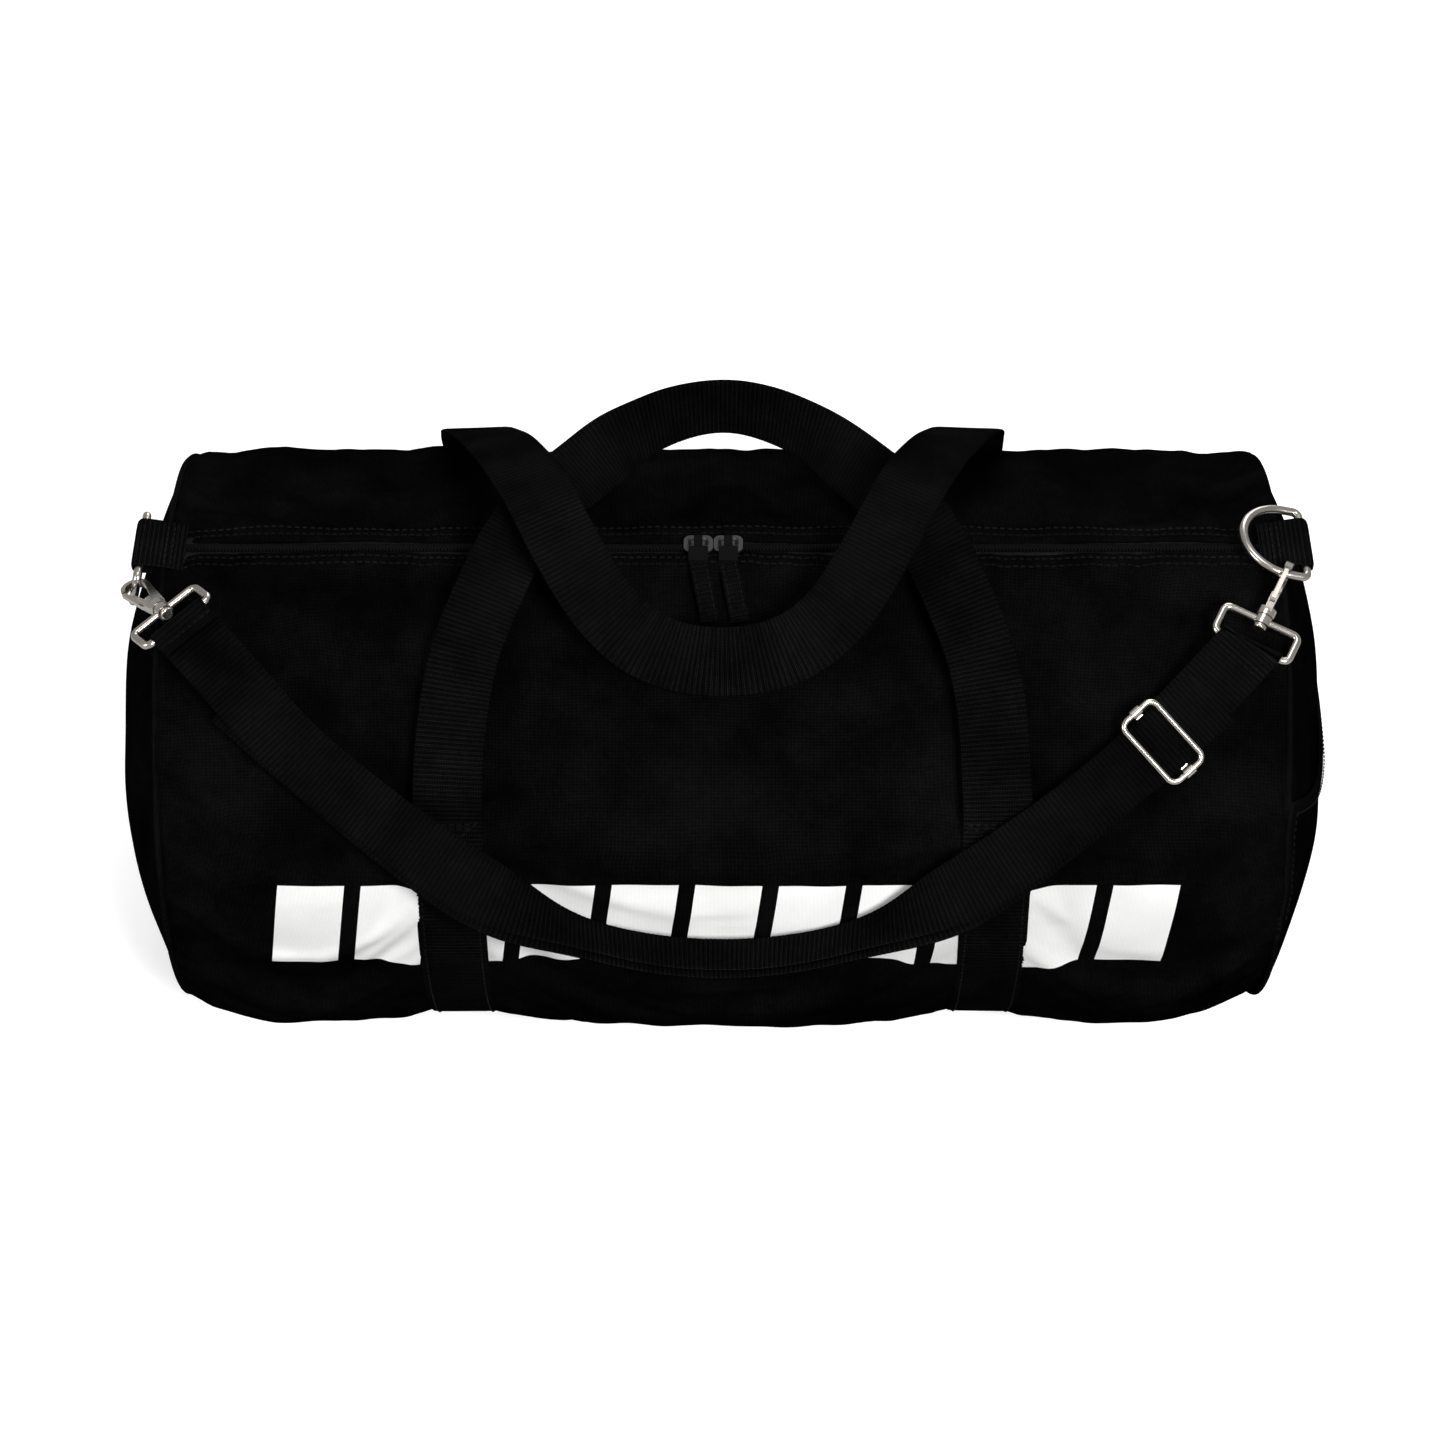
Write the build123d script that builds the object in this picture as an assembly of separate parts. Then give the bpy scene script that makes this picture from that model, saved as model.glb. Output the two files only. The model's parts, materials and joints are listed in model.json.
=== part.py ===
from build123d import *
import os
from math import cos, exp, pi, radians, sin, sqrt

# Soft barrel duffel bag. Millimetres. X runs along the bag, the front faces -Y, +Z is up,
# and the origin is on the ground under the middle of the base.

# ---- driving dimensions ----
HALF_LENGTH = 294.0  # middle to the tip of an end dome
SEAM_X = 260.0  # middle to the seam of an end panel
HALF_DEPTH = 148.0  # semi-axis of the sagging oval, front to back
HALF_HEIGHT = 133.0  # semi-axis of the sagging oval, up and down
AXIS_Z = 118.0  # height of the oval's centre above the ground
FABRIC = 2.5  # padded polyester wall
BASE = 5.0  # thicker wall that lies on the ground
BINDING = 0.6  # seam binding, proud of the body
BASE_SEAM_Z = 16.0  # where the base panel meets the front and back panels

WEB_WIDTH = 32.0  # handles, wraps and ring tabs
WEB = 1.8  # webbing thickness
WRAP_X = 126.0  # middle to the centre of a handle's leg
TACK_ANGLE = 56.0  # down from the top, where a handle leaves the body

ZIP_Y = -6.0
ZIP_HALF = 254.0
ZIP_SLOT = 9.0
ZIP_TAPE = 0.8
ZIP_TAPE_WIDTH = 15.0
COIL_GAP = 1.0
COIL_WIDTH = 2.1
COIL_HEIGHT = 1.8

SLIDER_LENGTH = 13.6
SLIDER_WIDTH = 10.5
SLIDER_PLATE = 1.1
SLIDER_X = (-11.3, 2.7)  # the two sliders stand head to head, a little left of the middle
BRIDGE_R = 0.8
BRIDGE_RISE = 3.0
PULL_DROOP = 12.0  # degrees below level at which the pulls hang forwards
PULL_LEAN = 9.5  # degrees that the pull tapes lean to the right
PULL_WIDTH = 9.0

RING_WIRE = 2.0  # radius of the D-ring's wire
RING_HALF = 21.0  # half the D-ring's width, to the wire's centre
RING_CORNER = 3.0
RING_SIDE = 8.0  # length of the D-ring's straight sides
TAB_Y = -10.0
TAB_WIDTH = 29.5
TAB_DIP = 2.0  # how far the tab falls from the ring's bar to its sewn end
TAB_IN = 250.0
BAR_X = 270.1
RING_BAR_Z = 255.2
RING_DROP_LEFT = 76.0  # degrees below level, turning outwards: the left ring hangs over the end
RING_LIFT_RIGHT = 194.0  # the same way round: the right ring is flipped inwards over its tab

HOOK_THICK = 3.6
STRAP_WIDTH = 30.0
STRAP = 1.6
TURN_IN = 58.0  # the strap is on edge inside this X
TURN_OUT = 160.0  # and lies flat beyond this one
TURN_LIFT = 3.5  # how much further it stands off halfway through its turn
STRAP_LIFT = 3.2  # webbing's middle above the body, clear of the wraps
STRAP_END_X = 236.0
STRAP_TOP = 29.0  # degrees from the top at its ends
STRAP_BOTTOM = 82.5  # and at the middle of its run
RETURN_LIFT = 5.2
RETURN_SLACK = 2.4  # how far the two layers part where the strap turns on edge
RETURN_START_X = -218.0  # the outer layer runs from beside the left loop to the adjuster
ADJUSTER_X = 200.0
ADJUSTER_HALF = 9.5
ADJUSTER_SIDE = 18.0
ADJUSTER_WIRE = 1.5
ADJUSTER_LIFT = 8.2

CLEAR = 0.1  # running clearance of a pin, rivet or bar in its hole


# ---- shared geometry ----
def barrel(grow, half_length, floor):
    """The body's oval, grown outwards, as a solid that stands on the height floor."""
    oval = Plane.YZ * Pos(0, AXIS_Z) * Ellipse(HALF_DEPTH + grow, HALF_HEIGHT + grow)
    solid = extrude(oval, amount=half_length, both=True)
    return solid & slab(z=(floor, 500))


def slab(x=(-500, 500), y=(-500, 500), z=(-500, 500)):
    """A box between limits on each axis."""
    size = [high - low for low, high in (x, y, z)]
    middle = [(low + high) / 2 for low, high in (x, y, z)]
    return Pos(*middle) * Box(*size)


def on_body(angle, x, lift):
    """A point on the oval, angle degrees from the top towards the front, and the outward normal."""
    a = radians(angle)
    normal = Vector(0, -sin(a) / HALF_DEPTH, cos(a) / HALF_HEIGHT).normalized()
    foot = Vector(x, -HALF_DEPTH * sin(a), AXIS_Z + HALF_HEIGHT * cos(a))
    return foot + normal * lift, normal


def ribbon(stations, width, thickness):
    """Webbing lofted through (centre, normal) stations."""
    points = [p for p, _ in stations]
    faces = []
    for i, (p, n) in enumerate(stations):
        run = points[min(i + 1, len(points) - 1)] - points[max(i - 1, 0)]
        side = run.cross(n).normalized() * (width / 2)
        up = side.cross(run).normalized() * (thickness / 2)
        corners = [p + side + up, p - side + up, p - side - up, p + side - up]
        faces.append(Face(Wire.make_polygon(corners)))
    return loft(faces, ruled=True)


def hull_2d(*circles):
    """The outline round several circles, each given as (x, y, radius)."""
    edges = [e for x, y, r in circles for e in (Pos(x, y) * Circle(r)).edges()]
    return make_hull(edges)


def smooth(t):
    """0 below 0, 1 above 1 and a smooth step between."""
    t = min(max(t, 0.0), 1.0)
    return t * t * (3 - 2 * t)


# ---- body ----
def wraps():
    """The two webbing bands round the front, base and back, flush with the ground."""
    top = on_body(TACK_ANGLE, 0, 0)[0].Z
    band = barrel(WEB, 300, 0) - barrel(0, 301, WEB)
    band &= slab(z=(-1, top))
    return {
        "strap_wrap_left": band & slab(x=(-WRAP_X - WEB_WIDTH / 2, -WRAP_X + WEB_WIDTH / 2)),
        "strap_wrap_right": band & slab(x=(WRAP_X - WEB_WIDTH / 2, WRAP_X + WEB_WIDTH / 2)),
    }


def body_panels(bands):
    """Front, back and base panels: one hollow oval tube with the zip's slot and the webbing's grooves."""
    tube = barrel(0, SEAM_X, 0) - barrel(-FABRIC, SEAM_X + 1, BASE)
    slot = slab((-ZIP_HALF, ZIP_HALF), (ZIP_Y - ZIP_SLOT / 2, ZIP_Y + ZIP_SLOT / 2), (AXIS_Z, 300))
    panels = {
        "bottom_panel": tube & slab(z=(-1, BASE_SEAM_Z)),
        "front_panel": (tube & slab(y=(-300, ZIP_Y), z=(BASE_SEAM_Z, 300))) - slot,
        "back_panel": (tube & slab(y=(ZIP_Y, 300), z=(BASE_SEAM_Z, 300))) - slot,
    }
    for name in panels:
        for band in bands.values():
            panels[name] -= band
    return panels


def dome(inset):
    """The puffed end of the bag: a cap of a stretched ball whose rim is the body's oval."""
    radius = 310.0
    centre_x = HALF_LENGTH - radius
    rim = sqrt(radius**2 - (SEAM_X - centre_x) ** 2)
    stretch = (1, HALF_DEPTH / rim, HALF_HEIGHT / rim)
    return Pos(centre_x, 0, AXIS_Z) * scale(Sphere(radius - inset), by=stretch)


def end_panels():
    """Domed end panels and the flat binding sewn round each seam."""
    keep = slab(x=(SEAM_X, 400), z=(0, 400))
    hollow = dome(FABRIC) & slab(x=(SEAM_X - 1, 400), z=(BASE, 400))
    right = (dome(0) & keep) - hollow
    band = (barrel(BINDING, SEAM_X + 1, 0) - barrel(0, SEAM_X + 2, -1)) & slab(x=(SEAM_X - 4, 400))
    return {
        "end_panel_right": right,
        "end_panel_left": mirror(right, about=Plane.YZ),
        "end_binding_right": band,
        "end_binding_left": mirror(band, about=Plane.YZ),
    }


def end_pocket():
    """The patch pocket on the right end, open at its curved top, and the binding round its mouth."""
    thick = 1.4
    layer = (dome(-0.2 - thick) - dome(-0.2)) & slab(x=(SEAM_X + 8, 400), z=(14, 400))
    mouth = Plane.YZ * Pos(16, AXIS_Z + 210) * Circle(190)
    cut = extrude(mouth, amount=400)
    inner = Plane.YZ * Pos(16, AXIS_Z + 210) * Circle(195)
    rim = extrude(inner, amount=400) - cut
    roll = (dome(-0.4 - 2 * thick) - dome(-0.2)) & slab(x=(SEAM_X + 8, 400), z=(14, 400)) & rim
    return {
        "end_pocket": layer - cut - rim,
        "end_pocket_binding": roll,
    }


def base_board():
    """The loose stiffener that lies on the base inside the bag."""
    board = Rectangle(2 * SEAM_X - 16, 116)
    board = fillet(board.vertices(), 18)
    return {"base_board": Pos(0, 0, BASE + 0.2) * extrude(board, amount=2.5)}


# ---- zip ----
def zip_tapes_and_coils():
    """A tape under each lip of the slot, with a coil along its edge."""
    shell = barrel(-FABRIC, ZIP_HALF + 3, AXIS_Z) - barrel(-FABRIC - ZIP_TAPE, ZIP_HALF + 4, AXIS_Z - 1)
    under = on_body(0, 0, 0)[0].Z - FABRIC
    parts = {}
    for name, way in (("front", -1), ("back", 1)):
        near = ZIP_Y + way * (COIL_GAP / 2 + 0.2)
        far = ZIP_Y + way * ZIP_TAPE_WIDTH
        tape = shell & slab(y=(min(near, far), max(near, far)), z=(AXIS_Z, 400))
        near = ZIP_Y + way * COIL_GAP / 2
        far = near + way * COIL_WIDTH
        run = (-ZIP_HALF + 3, ZIP_HALF - 3)
        coil = slab(run, (min(near, far), max(near, far)), (under, under + COIL_HEIGHT))
        parts[f"zipper_tape_{name}"] = tape
        parts[f"zipper_coil_{name}"] = coil
    stop = slab((-1.0, 1.0), (-2.8, 2.8), (under, under + 2.2))
    parts["zipper_end_stops"] = Compound(
        children=[Pos(way * (ZIP_HALF - 1.6), ZIP_Y, 0) * stop for way in (-1, 1)]
    )
    return parts


def slider(x):
    """A slider: a plate over the coils and one under the tapes, joined by a thin post, with a bridge."""
    top = on_body(0, 0, 0)[0].Z
    plate_z = top + 0.25
    outline = RectangleRounded(SLIDER_LENGTH, SLIDER_WIDTH, 3.2)
    plate = extrude(outline, amount=SLIDER_PLATE)
    upper = Pos(0, 0, plate_z) * plate
    under_z = top - FABRIC - ZIP_TAPE - 0.4 - SLIDER_PLATE
    lower = Pos(0, 0, under_z) * plate
    post = slab((-2.5, 2.5), (-0.35, 0.35), (under_z + 0.5, plate_z + 0.5))
    foot, bar = plate_z + 0.5, bridge_z()
    path = FilletPolyline((-4, 0, foot), (-4, 0, bar), (4, 0, bar), (4, 0, foot), radius=1.2)
    bridge = sweep(Pos(-4, 0, foot) * Circle(BRIDGE_R), path=path)
    return Pos(x, ZIP_Y, 0) * (upper + lower + post + bridge)


def bridge_z():
    """Height of the bridge bar that a pull hangs on."""
    return on_body(0, 0, 0)[0].Z + 0.25 + SLIDER_PLATE + BRIDGE_RISE


def pull(x):
    """The crimped block with its eye on the bridge, and the tape that hangs from it."""
    droop = radians(PULL_DROOP)
    hang = Plane(origin=(x, ZIP_Y, bridge_z()), x_dir=(1, 0, 0), z_dir=(0, -sin(droop), cos(droop)))
    eye = Rot(0, 90, 0) * Cylinder(2.1, 4.0)
    neck = slab((-2, 2), (-4.5, 0), (-1.3, 1.3))
    block = slab((-PULL_WIDTH / 2, PULL_WIDTH / 2), (-12.5, -4.5), (-1.6, 1.6))
    block = fillet(block.edges().filter_by(Axis.X), 0.6)
    hole = Rot(0, 90, 0) * Cylinder(BRIDGE_R + CLEAR, 10)
    tape = extrude(RectangleRounded(PULL_WIDTH - 0.4, 31.6, 1.2), amount=0.7, both=True)
    tape = Pos(0, -12.55, 0) * Rot(0, 0, PULL_LEAN) * Pos(0, -16.4, 0) * tape
    tape -= slab(y=(-12.5, 100))
    return hang * (eye + neck + block - hole), hang * tape


# ---- handles ----
def leg_path(points):
    """Mirror (x, y, z) control points of one leg to the other and return the curve."""
    return Spline(*points, *[(-x, y, z) for x, y, z in reversed(points[:-1])])


def handle(points, normals, count):
    """A webbing handle: centre points of the left leg up to the middle, and the normal at each."""
    curve = leg_path(points)
    marks = [curve.param_at_point(Vector(*p)) for p in points]
    stations = []
    for i in range(count + 1):
        u = i / count
        half = min(u, 1 - u) / marks[-1]
        places = [m / marks[-1] for m in marks]
        k = max(j for j in range(len(places) - 1) if places[j] <= half + 1e-9)
        t = smooth((half - places[k]) / (places[k + 1] - places[k]))
        n = Vector(*normals[k]) * (1 - t) + Vector(*normals[k + 1]) * t
        stations.append((curve @ u, n))
    return ribbon(stations, WEB_WIDTH, WEB)


def handle_foot(side):
    """Where a handle leaves the body, and the way it starts: side is -1 at the front, 1 at the back."""
    foot, normal = on_body(-side * (TACK_ANGLE - 1), -WRAP_X, WEB / 2 + 0.7)
    return foot, normal


def handle_front():
    """Rises up the front, leans back over the zip and stands on edge at its middle."""
    foot, normal = handle_foot(-1)
    low, low_normal = on_body(46, -WRAP_X + 1, WEB / 2 + 2)
    points = [
        tuple(foot),
        tuple(low),
        (-117, -63, AXIS_Z + 126),
        (-106, -38, AXIS_Z + 140),
        (-91, -8, AXIS_Z + 150),
        (-66, 26, AXIS_Z + 150),
        (-34, 58, AXIS_Z + 150),
        (0, 70, AXIS_Z + 150),
    ]
    normals = [
        tuple(normal),
        tuple(low_normal),
        (0, -0.45, 0.9),
        (0, -0.45, 0.9),
        (-0.1, -0.55, 0.83),
        (-0.2, -0.75, 0.6),
        (-0.1, -0.95, 0.2),
        (0, -1, 0.1),
    ]
    return handle(points, normals, 28)


def handle_back():
    """Rises up the back, droops forwards over the front handle and rests on the front of the bag."""
    foot, normal = handle_foot(1)
    low, low_normal = on_body(-44, -WRAP_X + 2, WEB / 2 + 3)
    points = [
        tuple(foot),
        tuple(low),
        (-115, 66, AXIS_Z + 137),
        (-101, 30, AXIS_Z + 160),
        (-84, -8, AXIS_Z + 168),
        (-66, -42, AXIS_Z + 156),
        (-40, -65, AXIS_Z + 134),
        (0, -74, AXIS_Z + 127),
    ]
    normals = [
        tuple(normal),
        tuple(low_normal),
        (0, 0.4, 0.9),
        (0, 0.1, 1),
        (0, -0.3, 0.95),
        (0, -0.5, 0.85),
        (0, -0.6, 0.8),
        (0, -0.6, 0.8),
    ]
    return handle(points, normals, 28)


# ---- rings and their tabs ----
def folded_web(bar_r, tail, dip, width, thickness):
    """Webbing folded round a bar at the origin and sewn flat towards -X; the bar runs along Y."""
    outer = hull_2d((0, 0, bar_r + CLEAR + thickness), (-tail, -dip, thickness))
    eye = hull_2d((0, 0, bar_r + CLEAR), (-3.2 * bar_r, 0, 0.15))
    face = (outer - eye) & Pos(-tail / 2 + 10, 0) * Rectangle(tail + 20, 40)
    return extrude(Plane.XZ * face, amount=width / 2, both=True)


def ring_tab():
    """The right tab: webbing sewn down at the end of the zip and folded round the ring's bar."""
    fold = folded_web(RING_WIRE, BAR_X - TAB_IN, TAB_DIP, TAB_WIDTH, WEB)
    foot = slab((TAB_IN - BAR_X, -9), (-TAB_WIDTH / 2, TAB_WIDTH / 2), (-9, -TAB_DIP))
    tab = Pos(BAR_X, TAB_Y, RING_BAR_Z) * (fold + foot)
    return tab - barrel(BINDING + 0.2, SEAM_X + 1.2, 0)


def ring_plane(side, turn):
    """The plane of a ring: its X points from the bar to the bow, turn degrees down from outwards."""
    a = radians(turn)
    out = Vector(side * cos(a), 0, -sin(a))
    return Plane(origin=(side * BAR_X, TAB_Y, RING_BAR_Z), x_dir=out, z_dir=out.cross(Vector(0, 1, 0)))


def d_ring(plane):
    """A D-ring bent from round wire."""
    corner = RING_HALF - RING_CORNER
    path = Wire(
        [
            Line((0, -corner), (0, corner)),
            CenterArc((RING_CORNER, corner), RING_CORNER, 90, 90),
            Line((RING_CORNER, RING_HALF), (RING_SIDE, RING_HALF)),
            CenterArc((RING_SIDE, 0), RING_HALF, -90, 180),
            Line((RING_SIDE, -RING_HALF), (RING_CORNER, -RING_HALF)),
            CenterArc((RING_CORNER, -corner), RING_CORNER, 180, 90),
        ]
    )
    start = Plane(origin=path @ 0.5, z_dir=path % 0.5)
    return plane * sweep(start * Circle(RING_WIRE), path=path)


# ---- hooks ----
GATE_PIVOT = (3.6, -15.4)
EYE_DROP = 0.9  # from the ring's wire down to the centre of the hook's eye


def upright(face, thick):
    """Extrude a face drawn in a hook's own XZ plane, centred on it."""
    return extrude(Plane.XZ * face, amount=thick / 2, both=True)


def hook_body():
    """A snap hook's bow with its opening, gate gap, gate slot and collar. The ring's wire is at 0, 0."""
    outer = hull_2d((0, -EYE_DROP, 6.9), (0, -20, 4.4))
    inner = hull_2d((0, -EYE_DROP, 4.8), (0, -10.5, 2.0))
    gap = make_face(Polyline((1.0, -13.0), (12, -13.0), (12, 0.6), (3.2, 0.6), close=True))
    body = upright(outer & Pos(0, -6) * Rectangle(40, 36), HOOK_THICK)
    body -= upright(inner + gap, 10)
    slot = upright(Pos(*GATE_PIVOT) * Circle(2.5) + Pos(5.0, -13.8) * Rectangle(7.4, 4.4), 2.4)
    pin = Pos(GATE_PIVOT[0], 0, GATE_PIVOT[1]) * Rot(90, 0, 0) * Cylinder(0.8, 10)
    stem = Pos(0, 0, -22) * Cylinder(1.9, 6)
    collar = Pos(0, 0, -22) * Cylinder(4.2, 4)
    return (body - slot) + collar - pin - stem


def hook_gate():
    """The sprung lever that closes the hook."""
    lever = hull_2d((*GATE_PIVOT, 2.1), (6.1, -0.5, 0.9))
    hole = Pos(*GATE_PIVOT) * Circle(0.8 + CLEAR)
    return upright(lever - hole, 2.0)


def gate_pin():
    """The pin that the gate turns on."""
    return Pos(GATE_PIVOT[0], 0, GATE_PIVOT[1]) * Rot(90, 0, 0) * Cylinder(0.8, HOOK_THICK)


def gate_spring():
    """A thin leaf that holds the gate shut from inside."""
    leaf = Pos(2.5, -8.9) * Rot(0, 0, -12) * Rectangle(0.35, 8.4)
    return upright(leaf, 1.8)


def swivel_rivet():
    """The rivet that joins the hook's collar to the strap's wire loop."""
    stem = Pos(0, 0, -23.95) * Cylinder(1.9, 9.9)
    head = Pos(0, 0, -29.9) * Cylinder(3.1, 2.0)
    head = fillet(head.edges().group_by(Axis.Z)[0], 0.9)
    return (stem & slab(z=(-28.9, -19))) + head


LOOP_BAR = 14.0  # from the hub's bar to the bar that carries the webbing
LOOP_TOP = -26.4
LOOP_HALF = 18.2
LOOP_WIRE = 1.8


def strap_loop():
    """A bent wire loop with a hub for the rivet; the webbing goes round its far bar."""
    frame = RectangleRounded(2 * LOOP_HALF, LOOP_BAR, 3)
    path = frame.faces()[0].outer_wire()
    start = Plane(origin=path @ 0, z_dir=path % 0)
    wire = sweep(start * Circle(LOOP_WIRE), path=Wire(path.edges()))
    wire = Plane.XZ * Pos(0, LOOP_TOP - LOOP_BAR / 2) * wire
    hub = Pos(0, 0, LOOP_TOP) * Cylinder(3.8, 4.2)
    hole = Pos(0, 0, LOOP_TOP) * Cylinder(1.9 + CLEAR, 12)
    return (wire + hub) - hole


def hook_frame(contact, along, face):
    """A frame whose -Z runs along the hook from the ring and whose Y is the hole's axis."""
    z_dir = Vector(*along).normalized() * -1
    y_dir = Vector(*face) - z_dir * Vector(*face).dot(z_dir)
    x_dir = y_dir.cross(z_dir)
    return Plane(origin=contact, x_dir=x_dir, z_dir=z_dir)


def hooks():
    """Both hooks with their rivets, gates, pins, springs and wire loops, and the loops' frames."""
    left_ring = ring_plane(-1, RING_DROP_LEFT)
    right_ring = ring_plane(1, RING_LIFT_RIGHT)
    hold_left = left_ring.from_local_coords(Vector(RING_SIDE, ring_front(left_ring), 0))
    hold_right = right_ring.from_local_coords(Vector(RING_SIDE + 3, ring_front(right_ring), 0))
    settings = {
        "left": (hold_left, (0.61, -0.755, 0.26), (0, 0, 1), (0, -0.3, 1)),
        "right": (hold_right, (-0.45, -0.84, -0.3), (1, 0, 0), (0, -0.4, 1)),
    }
    parts, loops = {}, {}
    for name, (contact, along, face, loop_face) in settings.items():
        frame = hook_frame(contact, along, face)
        loop_frame = hook_frame(contact, along, loop_face)
        parts[f"hook_body_{name}"] = frame * hook_body()
        parts[f"hook_gate_{name}"] = frame * hook_gate()
        parts[f"gate_pin_{name}"] = frame * gate_pin()
        parts[f"gate_spring_{name}"] = frame * gate_spring()
        parts[f"swivel_rivet_{name}"] = frame * swivel_rivet()
        parts[f"strap_loop_{name}"] = loop_frame * strap_loop()
        loops[name] = loop_frame
    return parts, loops


def ring_front(plane):
    """The ring's own Y at its front side."""
    return -RING_HALF if plane.y_dir.Y > 0 else RING_HALF


# ---- shoulder strap ----
def strap_angle(x):
    """How far down the front the strap lies at x, in degrees from the top."""
    return STRAP_TOP + (STRAP_BOTTOM - STRAP_TOP) * cos(pi / 2 * x / STRAP_END_X)


def strap_turn(x):
    """How far the strap has turned on edge: 0 on the shoulders, 1 along the bottom run."""
    return 1 - smooth((abs(x) - TURN_IN) / (TURN_OUT - TURN_IN))


def strap_station(x, lift):
    """The strap lies flat on the shoulders and turns on edge along the bottom run."""
    turn = strap_turn(x)
    stand = turn * (STRAP_WIDTH / 2 - 1.5) + 4 * turn * (1 - turn) * TURN_LIFT
    foot, normal = on_body(strap_angle(x), x, lift + stand)
    up = Vector(0, 0.41, 0.91)
    return foot, (normal * (1 - turn) + up * turn).normalized()


def strap_marks():
    """Places along X at which both layers of the strap are drawn, closer together at the adjuster."""
    end = STRAP_END_X - 9
    even = [-end + i * 2 * end / 60 for i in range(61)]
    near = [ADJUSTER_X + 1.5 * i for i in range(-5, 6)]
    return sorted([x for x in even if abs(x - ADJUSTER_X) > 9] + near)


def strap_web(loops):
    """The long webbing with a sewn fold round the far bar of each wire loop."""
    stations = [strap_station(x, STRAP_LIFT) for x in strap_marks()]
    bar = LOOP_TOP - LOOP_BAR
    folds = []
    for name, end in (("left", 0), ("right", -1)):
        frame = loops[name]
        fold = folded_web(LOOP_WIRE, 9, 0, STRAP_WIDTH, STRAP)
        fold = Pos(0, 0, bar) * Rot(0, 0, 90) * Rot(0, -90, 0) * fold
        folds.append(frame * fold)
        tail = frame.from_local_coords(Vector(0, 0, bar - 7))
        normal = frame.from_local_coords(Vector(0, 1, bar - 7)) - tail
        if normal.Z < 0:
            normal = normal * -1
        stations.insert(0 if end == 0 else len(stations), (tail, normal))
    return ribbon(stations, STRAP_WIDTH, STRAP) + folds


def strap_return():
    """The outer layer, from beside the left loop round to the adjuster and over its bar."""
    stations = []
    for x in strap_marks():
        if x < RETURN_START_X:
            continue
        foot, normal = strap_station(x, STRAP_LIFT)
        run = (strap_station(x + 2, STRAP_LIFT)[0] - strap_station(x - 2, STRAP_LIFT)[0]).normalized()
        out = (normal - run * normal.dot(run)).normalized()
        hump = 2.3 * exp(-(((x - ADJUSTER_X) / 3.6) ** 2))
        turn = strap_turn(x)
        slack = RETURN_SLACK * (4 * turn * (1 - turn) + turn / 3)
        stations.append((foot + out * (RETURN_LIFT - STRAP_LIFT + hump + slack), out))
    return ribbon(stations, STRAP_WIDTH - 0.6, STRAP)


def adjuster_plane():
    """The adjuster's plane: X along the strap, Z away from the bag."""
    here, normal = strap_station(ADJUSTER_X, ADJUSTER_LIFT)
    ahead = strap_station(ADJUSTER_X + 2, ADJUSTER_LIFT)[0]
    behind = strap_station(ADJUSTER_X - 2, ADJUSTER_LIFT)[0]
    run = (ahead - behind).normalized()
    return Plane(origin=here, x_dir=run, z_dir=(normal - run * normal.dot(run)).normalized())


def adjuster():
    """A wire frame over the webbing, and the flat bar that slides in it."""
    plane = adjuster_plane()
    path = RectangleRounded(2 * ADJUSTER_HALF, 2 * ADJUSTER_SIDE, 4).faces()[0].outer_wire()
    start = Plane(origin=path @ 0, z_dir=path % 0)
    frame = sweep(start * Circle(ADJUSTER_WIRE), path=Wire(path.edges()))
    bar = slab((-1.8, 1.8), (-ADJUSTER_SIDE, ADJUSTER_SIDE), (-4.0, -2.3))
    for way in (-1, 1):
        crimp = Pos(0, way * ADJUSTER_SIDE, 0) * Rot(0, 90, 0) * Cylinder(2.4, 5)
        bore = Pos(0, way * ADJUSTER_SIDE, 0) * Rot(0, 90, 0) * Cylinder(ADJUSTER_WIRE + CLEAR, 8)
        bar = bar + crimp - bore
    return {"adjuster_frame": plane * frame, "adjuster_bar": plane * bar}


# ---- the whole bag ----
def bag():
    """Every node of the bag, by name."""
    bands = wraps()
    parts = dict(bands)
    parts |= body_panels(bands) | end_panels() | end_pocket() | base_board() | zip_tapes_and_coils()
    for name, x in zip(("left", "right"), SLIDER_X):
        parts[f"slider_{name}"] = slider(x)
        parts[f"pull_block_{name}"], parts[f"pull_tape_{name}"] = pull(x)
    parts["handle_front"] = handle_front()
    parts["handle_back"] = handle_back()
    tab = ring_tab()
    parts["ring_tab_right"] = tab
    parts["ring_tab_left"] = mirror(tab, about=Plane.YZ)
    parts["d_ring_left"] = d_ring(ring_plane(-1, RING_DROP_LEFT))
    parts["d_ring_right"] = d_ring(ring_plane(1, RING_LIFT_RIGHT))
    hook_parts, loops = hooks()
    parts |= hook_parts
    parts["shoulder_strap"] = strap_web(loops)
    parts["strap_return"] = strap_return()
    parts |= adjuster()
    return parts


if __name__ == "__main__":
    os.makedirs("parts", exist_ok=True)
    for node, shape in bag().items():
        export_step(shape, f"parts/{node}.step")
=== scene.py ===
import json
from math import atan2, cos, pi, radians, sin, sqrt

import bmesh
import bpy
import numpy as np
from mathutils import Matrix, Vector, noise
from mathutils.bvhtree import BVHTree


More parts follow.
